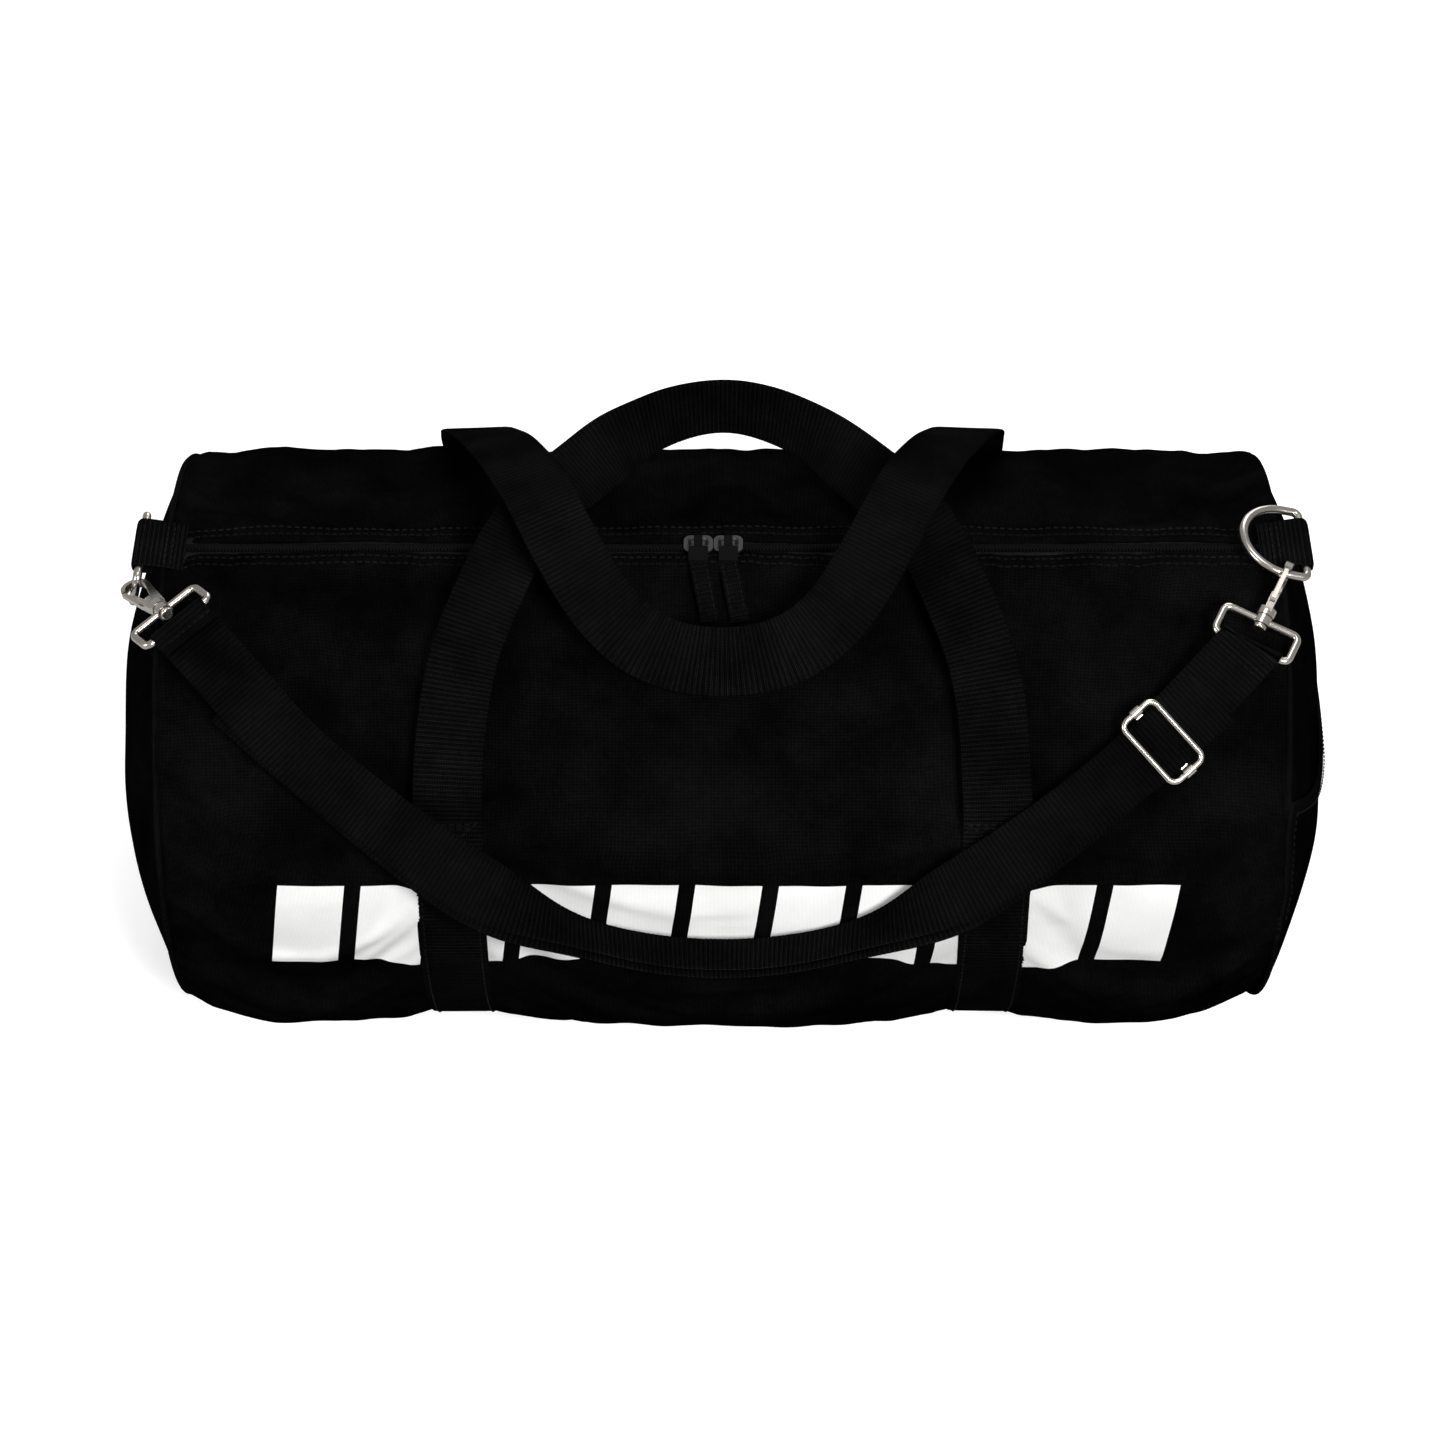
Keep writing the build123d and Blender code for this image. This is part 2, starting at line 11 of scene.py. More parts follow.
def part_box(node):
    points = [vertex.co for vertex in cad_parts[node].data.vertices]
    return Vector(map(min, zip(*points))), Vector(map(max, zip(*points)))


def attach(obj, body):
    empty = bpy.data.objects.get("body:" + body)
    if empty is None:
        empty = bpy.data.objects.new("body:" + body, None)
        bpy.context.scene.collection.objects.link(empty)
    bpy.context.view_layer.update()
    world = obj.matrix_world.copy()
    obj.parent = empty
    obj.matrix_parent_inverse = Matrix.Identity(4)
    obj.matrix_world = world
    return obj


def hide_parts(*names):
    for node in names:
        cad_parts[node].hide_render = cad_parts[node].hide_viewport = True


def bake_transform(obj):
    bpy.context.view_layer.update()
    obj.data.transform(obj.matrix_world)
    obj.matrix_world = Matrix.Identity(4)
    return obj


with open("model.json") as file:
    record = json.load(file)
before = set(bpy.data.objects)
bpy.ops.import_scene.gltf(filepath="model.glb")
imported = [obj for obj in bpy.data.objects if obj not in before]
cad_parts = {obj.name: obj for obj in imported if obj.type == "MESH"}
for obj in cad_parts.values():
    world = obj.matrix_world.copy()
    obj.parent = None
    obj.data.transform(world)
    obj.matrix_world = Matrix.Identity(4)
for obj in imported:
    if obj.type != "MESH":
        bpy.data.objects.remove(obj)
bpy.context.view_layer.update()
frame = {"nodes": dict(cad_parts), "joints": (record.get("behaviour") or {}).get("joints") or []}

# Metres throughout. X runs along the bag, the front faces -Y and the ground is z = 0.

# ---- sizes from the frame ----
FRONT_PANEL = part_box("front_panel")
SEAM_X = FRONT_PANEL[1].x
HALF_DEPTH = -FRONT_PANEL[0].y
TOP_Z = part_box("back_panel")[1].z
AXIS_Z = TOP_Z * 0.47  # height of the middle of the body's oval
HALF_HEIGHT = TOP_Z - AXIS_Z
TIP_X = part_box("end_panel_right")[1].x
TAPE_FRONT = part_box("zipper_tape_front")
TAPE_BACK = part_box("zipper_tape_back")
ZIP_Y = (TAPE_FRONT[1].y + TAPE_BACK[0].y) / 2
WRAP_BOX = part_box("strap_wrap_right")
WRAP_X = (WRAP_BOX[0].x + WRAP_BOX[1].x) / 2
WEB_WIDTH = WRAP_BOX[1].x - WRAP_BOX[0].x
TACK_Z = WRAP_BOX[1].z
TACK_RISE = (TACK_Z - AXIS_Z) / HALF_HEIGHT
TACK = atan2(sqrt(1 - TACK_RISE**2), TACK_RISE)  # angle from the top to where a handle is sewn down
JOINTS = {j["name"]: j for j in frame["joints"]}
FLOOR = 0.0012  # height of the cloth under the bag: only the webbing bands touch the ground

# ---- the body's cloth ----
SEAM_WIDTH = 0.042  # how far from its end seam the body starts to draw in
GROUND_TURN = radians(152.5)  # how far round from the top the oval meets the ground
ROUND = 0.14  # metres of cloth in one radian round the body, for noise and textures
ZIP_SLOT = 0.009  # gap between the lips of the zip
ZIP_TURN = 0.04  # half the zip's angle at the top of the body
LIP_TURN = ((ZIP_Y - ZIP_SLOT / 2) / -HALF_DEPTH, (ZIP_Y + ZIP_SLOT / 2) / -HALF_DEPTH)
BODY_ROWS = 150
BODY_TURNS = 236
SIM_FRAMES = 16
SKIN_CAP = 0.0065  # the farthest that the simulation may move a point
END_RINGS = 40
END_TURNS = 236
PIPING_R = 0.0014
PRINT_TURNS = (radians(71.5), radians(92.0))
PRINT_X = 0.213

# ---- webbing, stitches and the zip ----
WEB = 0.0018  # thickness of the handles' webbing
RIB = 0.0022  # spacing of its ribs
RIB_HEIGHT = 0.00028
ACROSS = np.array([-1.0, -0.97, -0.86, -0.6, -0.3, 0.0, 0.3, 0.6, 0.86, 0.97, 1.0])
CROWN = np.array([0.15, 0.62, 0.92, 1.0, 1.0, 1.0, 1.0, 1.0, 0.92, 0.62, 0.15])
STRAP_WIDTH = 0.030
STRAP = 0.0016  # thickness of the shoulder strap's webbing
STRAP_LIFT = 0.0032  # height of the inner layer above the oval
RETURN_LIFT = 0.0052  # height of the second layer
STRAP_END_X = 0.236
STRAP_TOP = radians(29.0)
STRAP_BOTTOM = radians(82.5)
LOOP_BAR_Z = -0.0404  # from the ring's wire to the bar that carries the strap, in a hook's frame
LOOP_WIRE = 0.0018
RING_WIRE = 0.002
EASE = 0.040  # length of webbing beside a wire loop that is eased into line with it
STITCH = 0.0026
STITCH_GAP = 0.0010
STITCH_R = 0.00038
SEW_WIDTH = 0.42  # half of a row of stitches across a band, as a part of the band's width
TOOTH_PITCH = 0.0016
TAPE_SHOWN = 0.0078  # how far each zip tape runs under its lip
TAPE_EDGE = 0.0007  # from the middle of the zip to the edge of a tape

UP = Vector((0, 0, 1))

# ---- textures ----
WAVE_PERIOD = 0.314  # of a wave texture at scale 1
WEAVE = 0.00062  # spacing of the body cloth's threads

noise.seed_set(7)


def smooth(t):
    """An even ramp from 0 to 1 with soft ends."""
    t = min(max(t, 0.0), 1.0)
    return t * t * (3 - 2 * t)


def spread(first, last, count):
    """Numbers at even steps from first to last."""
    return [first + (last - first) * i / (count - 1) for i in range(count)]


def bell(distance, width):
    """1 at no distance, falling smoothly to nothing over a width."""
    return np.exp(-((distance / width) ** 2))


def wave(x, y, z, scale):
    """Smooth noise between about -1 and 1 at a wavelength; whole numbers pick another part of it."""
    return noise.noise(Vector((x, y, z)) / scale)


# ---- body surface ----
def oval(turn, x, lift=0.0):
    """A point on the bag's oval, turn radians from the top to the front, and its outward normal."""
    if abs(turn) <= GROUND_TURN:
        normal = Vector((0, -sin(turn) / HALF_DEPTH, cos(turn) / HALF_HEIGHT)).normalized()
        foot = Vector((x, -HALF_DEPTH * sin(turn), AXIS_Z + HALF_HEIGHT * cos(turn)))
        foot.z = max(foot.z, 0.0)
        return foot + normal * lift, normal
    along = (pi - abs(turn)) / (pi - GROUND_TURN)
    y = HALF_DEPTH * sin(GROUND_TURN) * along * (-1 if turn > 0 else 1)
    return Vector((x, y, -lift)), Vector((0, 0, -1))


def seam_sink(turn):
    """How deep the end seam is drawn in: less at the top, by the ring tabs, than round the sides."""
    return 0.0035 + 0.0060 * smooth((abs(turn) - 0.35) / 0.55)


def beside_zip(turn):
    """Distance in metres from the zip, round the body."""
    return max(0.0, (abs(turn) - ZIP_TURN) * HALF_DEPTH)


def folds_by_zip(x, turn):
    """Gathers at the lips of the zip, short creases beside them and soft folds farther down."""
    side = 1 if turn > 0 else -1
    away = beside_zip(turn)
    if away > 0.16:
        return 0.0
    puckers = wave(x, side * 3, 0, 0.008) + 0.6 * wave(x, side * 5, 1, 0.004)
    height = 0.0015 * puckers * bell(away - 0.014, 0.010) + 0.0004 * puckers
    folds = wave(x + 0.15 * away, side * 7, 2 + away * 0.4, 0.030)
    height += 0.0040 * folds * bell(away - 0.045, 0.055)
    creases = max(0.0, wave(x - 0.10 * away, side * 17, away * 0.15, 0.013) - 0.15)
    height -= 0.0034 * creases * bell(away - 0.028, 0.018)
    return float(height)


def puff(x, turn):
    """How far the cloth stands from the plain oval, with its folds, puckers and dents."""
    away = beside_zip(turn)
    from_seam = SEAM_X - abs(x)
    height = folds_by_zip(x, turn)
    seams = wave(turn * ROUND, x > 0, 3, 0.011)
    height += 0.0018 * seams * np.exp(-from_seam / 0.013)
    free = 1 - bell(away, 0.025)
    height += 0.0034 * free * wave(x, turn * ROUND, 4, 0.080)
    height += 0.0014 * free * wave(x * 1.6, turn * ROUND, 9, 0.030)
    height -= 0.0016 * bell(abs(x) - WRAP_X, 0.020) * (abs(turn) > TACK - 0.1)
    height -= seam_sink(turn) * (1 - min(1.0, max(0.0, from_seam / SEAM_WIDTH))) ** 2.2
    height -= 0.0012 * np.exp(-away / 0.006)
    if abs(turn) > GROUND_TURN - 0.12:
        height = min(height, 0.0) * 0.6
    return float(height)


def ring_faces(base, rings, count):
    """Faces of a closed shape made of rings of points, the first point being number base."""
    faces = grid_faces(rings, count, wrap=True)
    faces.append(tuple(reversed(range(count))))
    faces.append(tuple(range((rings - 1) * count, rings * count)))
    return [tuple(base + k for k in face) for face in faces]


def new_mesh(name, verts, faces, uvs=None):
    """A mesh object from points and faces; uvs holds one (u, v) in metres for each vertex."""
    mesh = bpy.data.meshes.new(name)
    mesh.from_pydata([tuple(v) for v in verts], [], faces)
    if uvs is not None:
        layer = mesh.uv_layers.new(name="UVMap")
        corner = np.empty(len(mesh.loops), dtype=np.int32)
        mesh.loops.foreach_get("vertex_index", corner)
        layer.data.foreach_set("uv", np.asarray(uvs, dtype=np.float32)[corner].ravel())
    mesh.polygons.foreach_set("use_smooth", [True] * len(mesh.polygons))
    mesh.update()
    obj = bpy.data.objects.new(name, mesh)
    bpy.context.scene.collection.objects.link(obj)
    return obj


def grid_faces(rows, columns, wrap=False):
    """Quads between rows of points, each row closed on itself if wrap is set."""
    span = columns if wrap else columns - 1
    faces = []
    for r in range(rows - 1):
        for c in range(span):
            a, b = r * columns + c, r * columns + (c + 1) % columns
            faces.append((a, b, b + columns, a + columns))
    return faces


def wrapped(turn):
    """The same angle between -pi and pi."""
    return turn if turn <= pi else turn - 2 * pi


def end_point(side, out, turn):
    """A point of a domed end panel, with out from 0 at its seam to 1 at its middle."""
    foot, normal = oval(turn, side * SEAM_X)
    edge = foot - normal * seam_sink(turn)
    middle = Vector((side * SEAM_X, 0, AXIS_Z))
    place = edge.lerp(middle, out)
    swell = (TIP_X - SEAM_X - 0.002) * (1 - (1 - out) ** 2.3)
    crease = 0.0016 * wave(turn * ROUND, side * 11, 6, 0.016) * np.exp(-out / 0.10)
    lumps = 0.0030 * wave(place.y, place.z, side * 13, 0.060) * smooth(out * 4)
    place.x += side * (swell + crease + lumps)
    return place


def finished(obj):
    """Points and faces of a piece with its modifiers applied."""
    done = obj.evaluated_get(bpy.context.evaluated_depsgraph_get())
    mesh = done.to_mesh()
    points = [v.co.copy() for v in mesh.vertices]
    faces = [tuple(f.vertices) for f in mesh.polygons]
    done.to_mesh_clear()
    return points, faces


def simulated(points, faces, hold):
    """The skin after a cloth simulation: inflated and a little too large, it wrinkles between holds."""
    obj = new_mesh("skin_work", points, faces)
    group = obj.vertex_groups.new(name="hold")
    for i, weight in enumerate(hold):
        if weight > 0:
            group.add([i], weight, "REPLACE")
    cloth = obj.modifiers.new("Cloth", "CLOTH")
    settings = {
        "quality": 5,
        "mass": 0.25,
        "tension_stiffness": 18,
        "compression_stiffness": 12,
        "shear_stiffness": 6,
        "bending_stiffness": 0.35,
        "vertex_group_mass": "hold",
        "pin_stiffness": 1.2,
        "use_pressure": True,
        "uniform_pressure_force": 3.0,
        "shrink_min": -0.022,  # negative: the cloth is larger than the shape it starts from
    }
    for field, value in settings.items():
        setattr(cloth.settings, field, value)
    cloth.settings.effector_weights.gravity = 0.25
    cloth.collision_settings.use_self_collision = False
    cloth.point_cache.frame_start = 1
    cloth.point_cache.frame_end = SIM_FRAMES
    scene = bpy.context.scene
    for step in range(1, SIM_FRAMES + 1):
        scene.frame_set(step)
    moved, _ = finished(obj)
    scene.frame_set(1)
    bpy.data.objects.remove(obj)
    out = []
    for before, after in zip(points, moved):
        step = after - before
        if step.length > SKIN_CAP:
            step *= SKIN_CAP / step.length
        out.append(before + step)
    return out


def lip_sway(x, from_front, from_back):
    """Each lip of the zip wanders a little from a straight line."""
    front = wave(x, 50, 0, 0.055) * np.exp(-from_front * HALF_DEPTH / 0.020)
    back = wave(x, 60, 0, 0.055) * np.exp(-from_back * HALF_DEPTH / 0.020)
    return Vector((0, 0.0009 * float(front + back), 0))


def hold_weight(x, turn, from_lip):
    """How firmly the simulation holds a point: at the zip, the seams, the base and the webbing."""
    if from_lip < 0.008:
        return 1.0
    if SEAM_X - abs(x) < 0.006:
        return 0.9
    if abs(turn) > GROUND_TURN - 0.05:
        return 0.8
    if abs(abs(x) - WRAP_X) < WEB_WIDTH / 2 and abs(turn) > TACK:
        return 0.45
    return 0.0


def body_skin():
    """Points of the body's cloth: lofted round the oval, simulated, its folds by the zip sharpened."""
    turns = spread(LIP_TURN[0], LIP_TURN[1] + 2 * pi, BODY_TURNS)  # from lip to lip, under the base
    xs = [SEAM_X * (2 * i / (BODY_ROWS - 1) - 1) for i in range(BODY_ROWS)]
    from_lips = [min(turn - turns[0], turns[-1] - turn) * HALF_DEPTH for turn in turns]
    points, hold = [], []
    for x in xs:
        for turn, from_lip in zip(turns, from_lips):
            t = wrapped(turn)
            foot, normal = oval(t, x)
            points.append(foot + normal * puff(x, t) + lip_sway(x, turn - turns[0], turns[-1] - turn))
            hold.append(hold_weight(x, t, from_lip))
    laid_out = points
    points = simulated(points, grid_faces(len(xs), len(turns)), hold)
    for i, point in enumerate(points):
        x, t = xs[i // len(turns)], wrapped(turns[i % len(turns)])
        firm = bell(from_lips[i % len(turns)], 0.008)
        point += oval(t, x)[1] * (1 - firm) * 0.7 * folds_by_zip(x, t)
        points[i] = point.lerp(laid_out[i], firm)
    for p in points:
        p.z = max(p.z, FLOOR)
    return points, xs, turns


def body():
    """The visible body cloth with its rolled lips; gives a search tree of its surface."""
    points, xs, turns = body_skin()
    rows, columns = len(xs), len(turns)
    verts, coords = [], []
    for r in range(rows):
        row = points[r * columns:(r + 1) * columns]
        lips = []
        for lip, way in ((row[0], 1), (row[-1], -1)):
            lips.append([
                lip + Vector((0, way * 0.0008, -0.0005)),
                lip + Vector((0, way * 0.0009, -0.0018)),
                lip + Vector((0, -way * 0.0005, -0.0026)),
            ])
        line = lips[0][::-1] + row + lips[1]
        verts += line
        coords += [(xs[r], turns[0] * ROUND + (c - 3) * 0.0035) for c in range(len(line))]
    obj = new_mesh("body_cloth", verts, grid_faces(rows, columns + 6), coords)
    finer = obj.modifiers.new("Subsurf", "SUBSURF")
    finer.levels = 1
    finer.render_levels = 1
    finish_piece(obj, "black_canvas", "bag", "canvas", "front_panel", "back_panel", "bottom_panel")
    return BVHTree.FromPolygons(*finished(obj))


def laid(x, turn, lift, tree=None):
    """A point lift above the body cloth, or above the piece that tree belongs to, and its normal."""
    foot, normal = oval(turn, x)
    start = foot + normal * 0.012
    spot, face_normal, _, _ = (tree or SKIN).ray_cast(start, -normal, 0.06)
    if spot is None:
        spot, face_normal = foot, normal
    if face_normal.dot(normal) < 0:
        face_normal = -face_normal
    place = spot + normal * lift
    place.z = max(place.z, WEB / 2)
    return place, normal.lerp(face_normal, 0.35).normalized()


# ---- materials ----
def node_material(name, roughness, metallic=0.0):
    """A new node material: its tree, its main shader, and makers of further nodes and of links."""
    mat = bpy.data.materials.new(name)
    mat.use_nodes = True
    tree = mat.node_tree
    shader = tree.nodes["Principled BSDF"]
    shader.inputs["Roughness"].default_value = roughness
    shader.inputs["Metallic"].default_value = metallic

    def make(kind, **values):
        node = tree.nodes.new("ShaderNode" + kind)
        for key, value in values.items():
            if hasattr(node, key) and key not in node.inputs:
                setattr(node, key, value)
            else:
                node.inputs[key.replace("_", " ")].default_value = value
        return node

    def link(source, output, target, entry):
        tree.links.new(source.outputs[output], target.inputs[entry])

    return tree, shader, make, link


def woven(name, dark, light, spacing, coords, depth, roughness=0.85, sheen=0.0):
    """Cloth of two crossing sets of threads, speckled and mottled, and raised by bump."""
    tree, shader, make, link = node_material(name, roughness)
    place = make("TexCoord")
    warp = make("TexWave", bands_direction="X", Scale=WAVE_PERIOD / spacing, Distortion=0.8)
    weft = make("TexWave", bands_direction="Y", Scale=WAVE_PERIOD / spacing, Distortion=0.8)
    for node in (warp, weft):
        link(place, coords, node, "Vector")
    cross = make("Math", operation="MULTIPLY")
    link(warp, "Fac", cross, 0)
    link(weft, "Fac", cross, 1)
    mottle = make("TexNoise", Scale=22.0, Detail=7.0, Roughness=0.68)
    link(place, "Object", mottle, "Vector")
    grain = make("TexNoise", Scale=620.0, Detail=3.0, Roughness=0.75)
    link(place, "Object", grain, "Vector")
    height = make("Math", operation="MULTIPLY_ADD")
    link(grain, "Fac", height, 0)
    height.inputs[1].default_value = 0.5
    link(cross, "Value", height, 2)
    total = make("Math", operation="MULTIPLY")
    link(height, "Value", total, 0)
    link(mottle, "Fac", total, 1)
    ramp = make("ValToRGB")
    ramp.color_ramp.elements[0].position = 0.18
    ramp.color_ramp.elements[0].color = (*dark, 1)
    ramp.color_ramp.elements[1].position = 0.62
    ramp.color_ramp.elements[1].color = (*light, 1)
    link(total, "Value", ramp, "Fac")
    link(ramp, "Color", shader, "Base Color")
    shader.inputs["Sheen Weight"].default_value = sheen
    shader.inputs["Sheen Roughness"].default_value = 0.45
    shader.inputs["Specular IOR Level"].default_value = 0.0
    bump = make("Bump", Strength=0.7, Distance=depth)
    link(height, "Value", bump, "Height")
    link(bump, "Normal", shader, "Normal")
    # the webbing's colour gets painted shade in the valleys between its ribs
    if name == "black_webbing":
        paint_shade_in_valleys(tree, shader, make, link)


def paint_shade_in_valleys(tree, shader, make, link):
    """Paint shade into the webbing's colour: darker in the valleys between its ribs."""
    colour = shader.inputs["Base Color"].links[0].from_socket
    rib = make("Attribute", attribute_name="rib")
    # painted shade: a quarter of the colour at the bottom of a valley, all of it on a crest
    shade = make("MapRange", To_Min=0.25)
    link(rib, "Fac", shade, "Value")
    mix = make("VectorMath", operation="SCALE")
    tree.links.new(colour, mix.inputs[0])
    link(shade, "Result", mix, "Scale")
    link(mix, "Vector", shader, "Base Color")


def worn(name, colour, roughness, metallic, speck, wear, shine=0.4):
    """A smooth finish with fine scratches, uneven polish and paler wear on its edges."""
    _, shader, make, link = node_material(name, roughness, metallic)
    place = make("TexCoord")
    patches = make("TexNoise", Scale=speck, Detail=8.0, Roughness=0.6)
    link(place, "Object", patches, "Vector")
    fine = make("TexNoise", Scale=speck * 9, Detail=4.0, Roughness=0.8)
    link(place, "Object", fine, "Vector")
    shape = make("NewGeometry")
    edges = make("MapRange", From_Min=0.50, From_Max=0.60)
    link(shape, "Pointiness", edges, "Value")
    ramp = make("ValToRGB")
    ramp.color_ramp.elements[0].color = (*[c * 0.80 for c in colour], 1)
    ramp.color_ramp.elements[1].color = (*[min(1, c * 1.12) for c in colour], 1)
    link(patches, "Fac", ramp, "Fac")
    mix = make("Mix", data_type="RGBA")
    link(edges, "Result", mix, "Factor")
    link(ramp, "Color", mix, 6)
    mix.inputs[7].default_value = (*[min(1, c * wear) for c in colour], 1)
    link(mix, 2, shader, "Base Color")
    polish = make("MapRange", To_Min=roughness * 0.75, To_Max=roughness * 1.35)
    link(fine, "Fac", polish, "Value")
    link(polish, "Result", shader, "Roughness")
    shader.inputs["Specular IOR Level"].default_value = shine
    bump = make("Bump", Strength=0.25, Distance=0.00004)
    link(fine, "Fac", bump, "Height")
    link(bump, "Normal", shader, "Normal")


# darkest and lightest colour, spacing of the threads, texture coordinates, bump, roughness, sheen
CLOTHS = {
    "black_canvas": ((0.0002, 0.0002, 0.0002), (0.0105, 0.0105, 0.0108), WEAVE, "UV", 0.00016),
    "black_webbing": ((0.0012, 0.0012, 0.0013), (0.019, 0.019, 0.0195), 0.00075, "UV", 0.00014, 0.6),
    "black_zip_tape": ((0.006, 0.006, 0.0061), (0.036, 0.036, 0.0365), 0.00045, "Object", 0.00006),
    "black_binding": ((0.0015, 0.0015, 0.0016), (0.0105, 0.0105, 0.0108), 0.00055, "Object", 0.00008),
    "black_thread": ((0.003, 0.003, 0.0031), (0.020, 0.020, 0.021), 0.0004, "Object", 0.00003, 0.7, 0.02),
    "white_print": ((0.80, 0.80, 0.79), (1.0, 1.0, 0.99), WEAVE, "UV", 0.00006, 0.8),
}
# colour, roughness, metal or not, scale of the wear, how much paler its edges are, shine
FINISHES = {
    "satin_nickel": ((0.46, 0.43, 0.395), 0.24, 1.0, 160.0, 1.15),
    "black_enamel": ((0.005, 0.005, 0.0055), 0.5, 0.0, 240.0, 1.6, 0.03),
    "black_nylon": ((0.004, 0.004, 0.0043), 0.6, 0.0, 260.0, 1.4, 0.0),
    "spring_steel": ((0.45, 0.44, 0.43), 0.35, 1.0, 300.0, 1.1),
    "base_board_plastic": ((0.05, 0.05, 0.052), 0.55, 0.0, 90.0, 1.4),
}


def material(name):
    """A material by its name, made the first time it is asked for."""
    if name not in bpy.data.materials:
        if name in CLOTHS:
            woven(name, *CLOTHS[name])
        else:
            worn(name, *FINISHES[name])
    return bpy.data.materials[name]


# ---- webbing ----
def resample(stations, step):
    """Stations (point, normal) spread evenly along their curve, with a run direction added."""
    points = np.array([tuple(p) for p, _ in stations])
    normals = np.array([tuple(n) for _, n in stations])
    lengths = np.concatenate([[0], np.cumsum(np.linalg.norm(np.diff(points, axis=0), axis=1))])
    count = max(int(round(lengths[-1] / step)), 2)
    marks = np.linspace(0, lengths[-1], count + 1)
    places = np.stack([np.interp(marks, lengths, points[:, k]) for k in range(3)], axis=1)
    ups = np.stack([np.interp(marks, lengths, normals[:, k]) for k in range(3)], axis=1)
    runs = np.gradient(places, axis=0)
    runs /= np.linalg.norm(runs, axis=1)[:, None]
    ups -= runs * (ups * runs).sum(1)[:, None]
    ups /= np.linalg.norm(ups, axis=1)[:, None]
    return marks, places, ups, runs


def relax(stations, rounds):
    """Round off the corners of a coarse path."""
    points = [Vector(p) for p, _ in stations]
    normals = [Vector(n) for _, n in stations]
    for _ in range(rounds):
        threes = zip(points, points[1:], points[2:])
        points[1:-1] = [a * 0.25 + b * 0.5 + c * 0.25 for a, b, c in threes]
        threes = zip(normals, normals[1:], normals[2:])
        normals[1:-1] = [(a + b * 2 + c).normalized() for a, b, c in threes]
    return list(zip(points, normals))


def webbing(name, stations, width, thickness, pitch=RIB, rib_height=RIB_HEIGHT):
    """Ribbed webbing along stations (centre, normal): each weft rib is real geometry."""
    marks, places, ups, runs = resample(stations, pitch / 4)
    sides = np.cross(runs, ups)
    rib = rib_height * (0.5 + 0.5 * np.cos(2 * pi * marks / pitch))
    sway = 0.00035 * np.array([wave(m, len(name), 0, 0.030) for m in marks])
    rings = []
    for sign in (1, -1):
        across = ACROSS if sign > 0 else ACROSS[::-1]
        crown = CROWN if sign > 0 else CROWN[::-1]
        height = sign * (thickness / 2 - rib_height + rib[:, None]) * crown[None, :]
        shift = across[None, :] * width / 2 + sway[:, None]
        rings.append(places[:, None] + sides[:, None] * shift[..., None] + ups[:, None] * height[..., None])
    verts = np.concatenate(rings, axis=1)
    rows, columns = verts.shape[:2]
    faces = grid_faces(rows, columns, wrap=True)
    faces.append(tuple(range(columns)))
    faces.append(tuple(range((rows - 1) * columns, rows * columns))[::-1])
    across = np.concatenate([ACROSS, ACROSS[::-1]]) * width / 2
    uvs = np.stack(np.broadcast_arrays(across[None, :], marks[:, None]), -1)
    obj = new_mesh(name, verts.reshape(-1, 3), faces, uvs.reshape(-1, 2))
    # the rib height, also the mask for the painted shade in the webbing's valleys
    depth = obj.data.attributes.new("rib", "FLOAT", "POINT")
    depth.data.foreach_set("value", np.repeat(rib / rib_height, columns).astype(np.float32))
    return obj


def finish_piece(obj, look, body, slot, *nodes):
    """Give a piece its material, hide the CAD nodes that it stands for and let it ride on a body; slot is
    not used.
    """
    obj.data.materials.append(material(look))
    if nodes:
        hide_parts(*nodes)
    if body:
        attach(obj, body)


def stitches(name, lines, body="bag", radius=STITCH_R):
    """Rows of thread along lines of (point, normal): each stitch is a bead that dips at its ends."""
    verts, faces = [], []
    for line in lines:
        _, places, ups, runs = resample(line, STITCH + STITCH_GAP)
        for place, up, run in zip(places[:-1], ups, runs):
            side = np.cross(run, up)
            base = len(verts)
            for along, size in ((-0.5, 0.35), (-0.32, 0.95), (0.0, 1.1), (0.32, 0.95), (0.5, 0.35)):
                centre = place + run * along * STITCH + up * radius * (0.9 * size - 0.5)
                for k in range(6):
                    a = 2 * pi * k / 6
                    verts.append(centre + (side * cos(a) + up * sin(a)) * radius * size)
            faces += ring_faces(base, 5, 6)
    obj = new_mesh(name, verts, faces)
    finish_piece(obj, "black_thread", body, "binding")


def cord(name, points, radius):
    """A round cord through a closed ring of points."""
    verts, count, segments = [], len(points), 12
    for i, p in enumerate(points):
        run = (points[(i + 1) % count] - points[i - 1]).normalized()
        side = run.cross(Vector((1, 0, 0)) if abs(run.x) < 0.8 else UP).normalized()
        up = side.cross(run)
        for k in range(segments):
            a = 2 * pi * k / segments
            verts.append(p + (side * cos(a) + up * sin(a)) * radius)
    obj = new_mesh(name, verts + verts[:segments], grid_faces(count + 1, segments, wrap=True))
    work = bmesh.new()
    work.from_mesh(obj.data)
    bmesh.ops.remove_doubles(work, verts=work.verts, dist=1e-7)
    work.to_mesh(obj.data)
    work.free()
    return obj


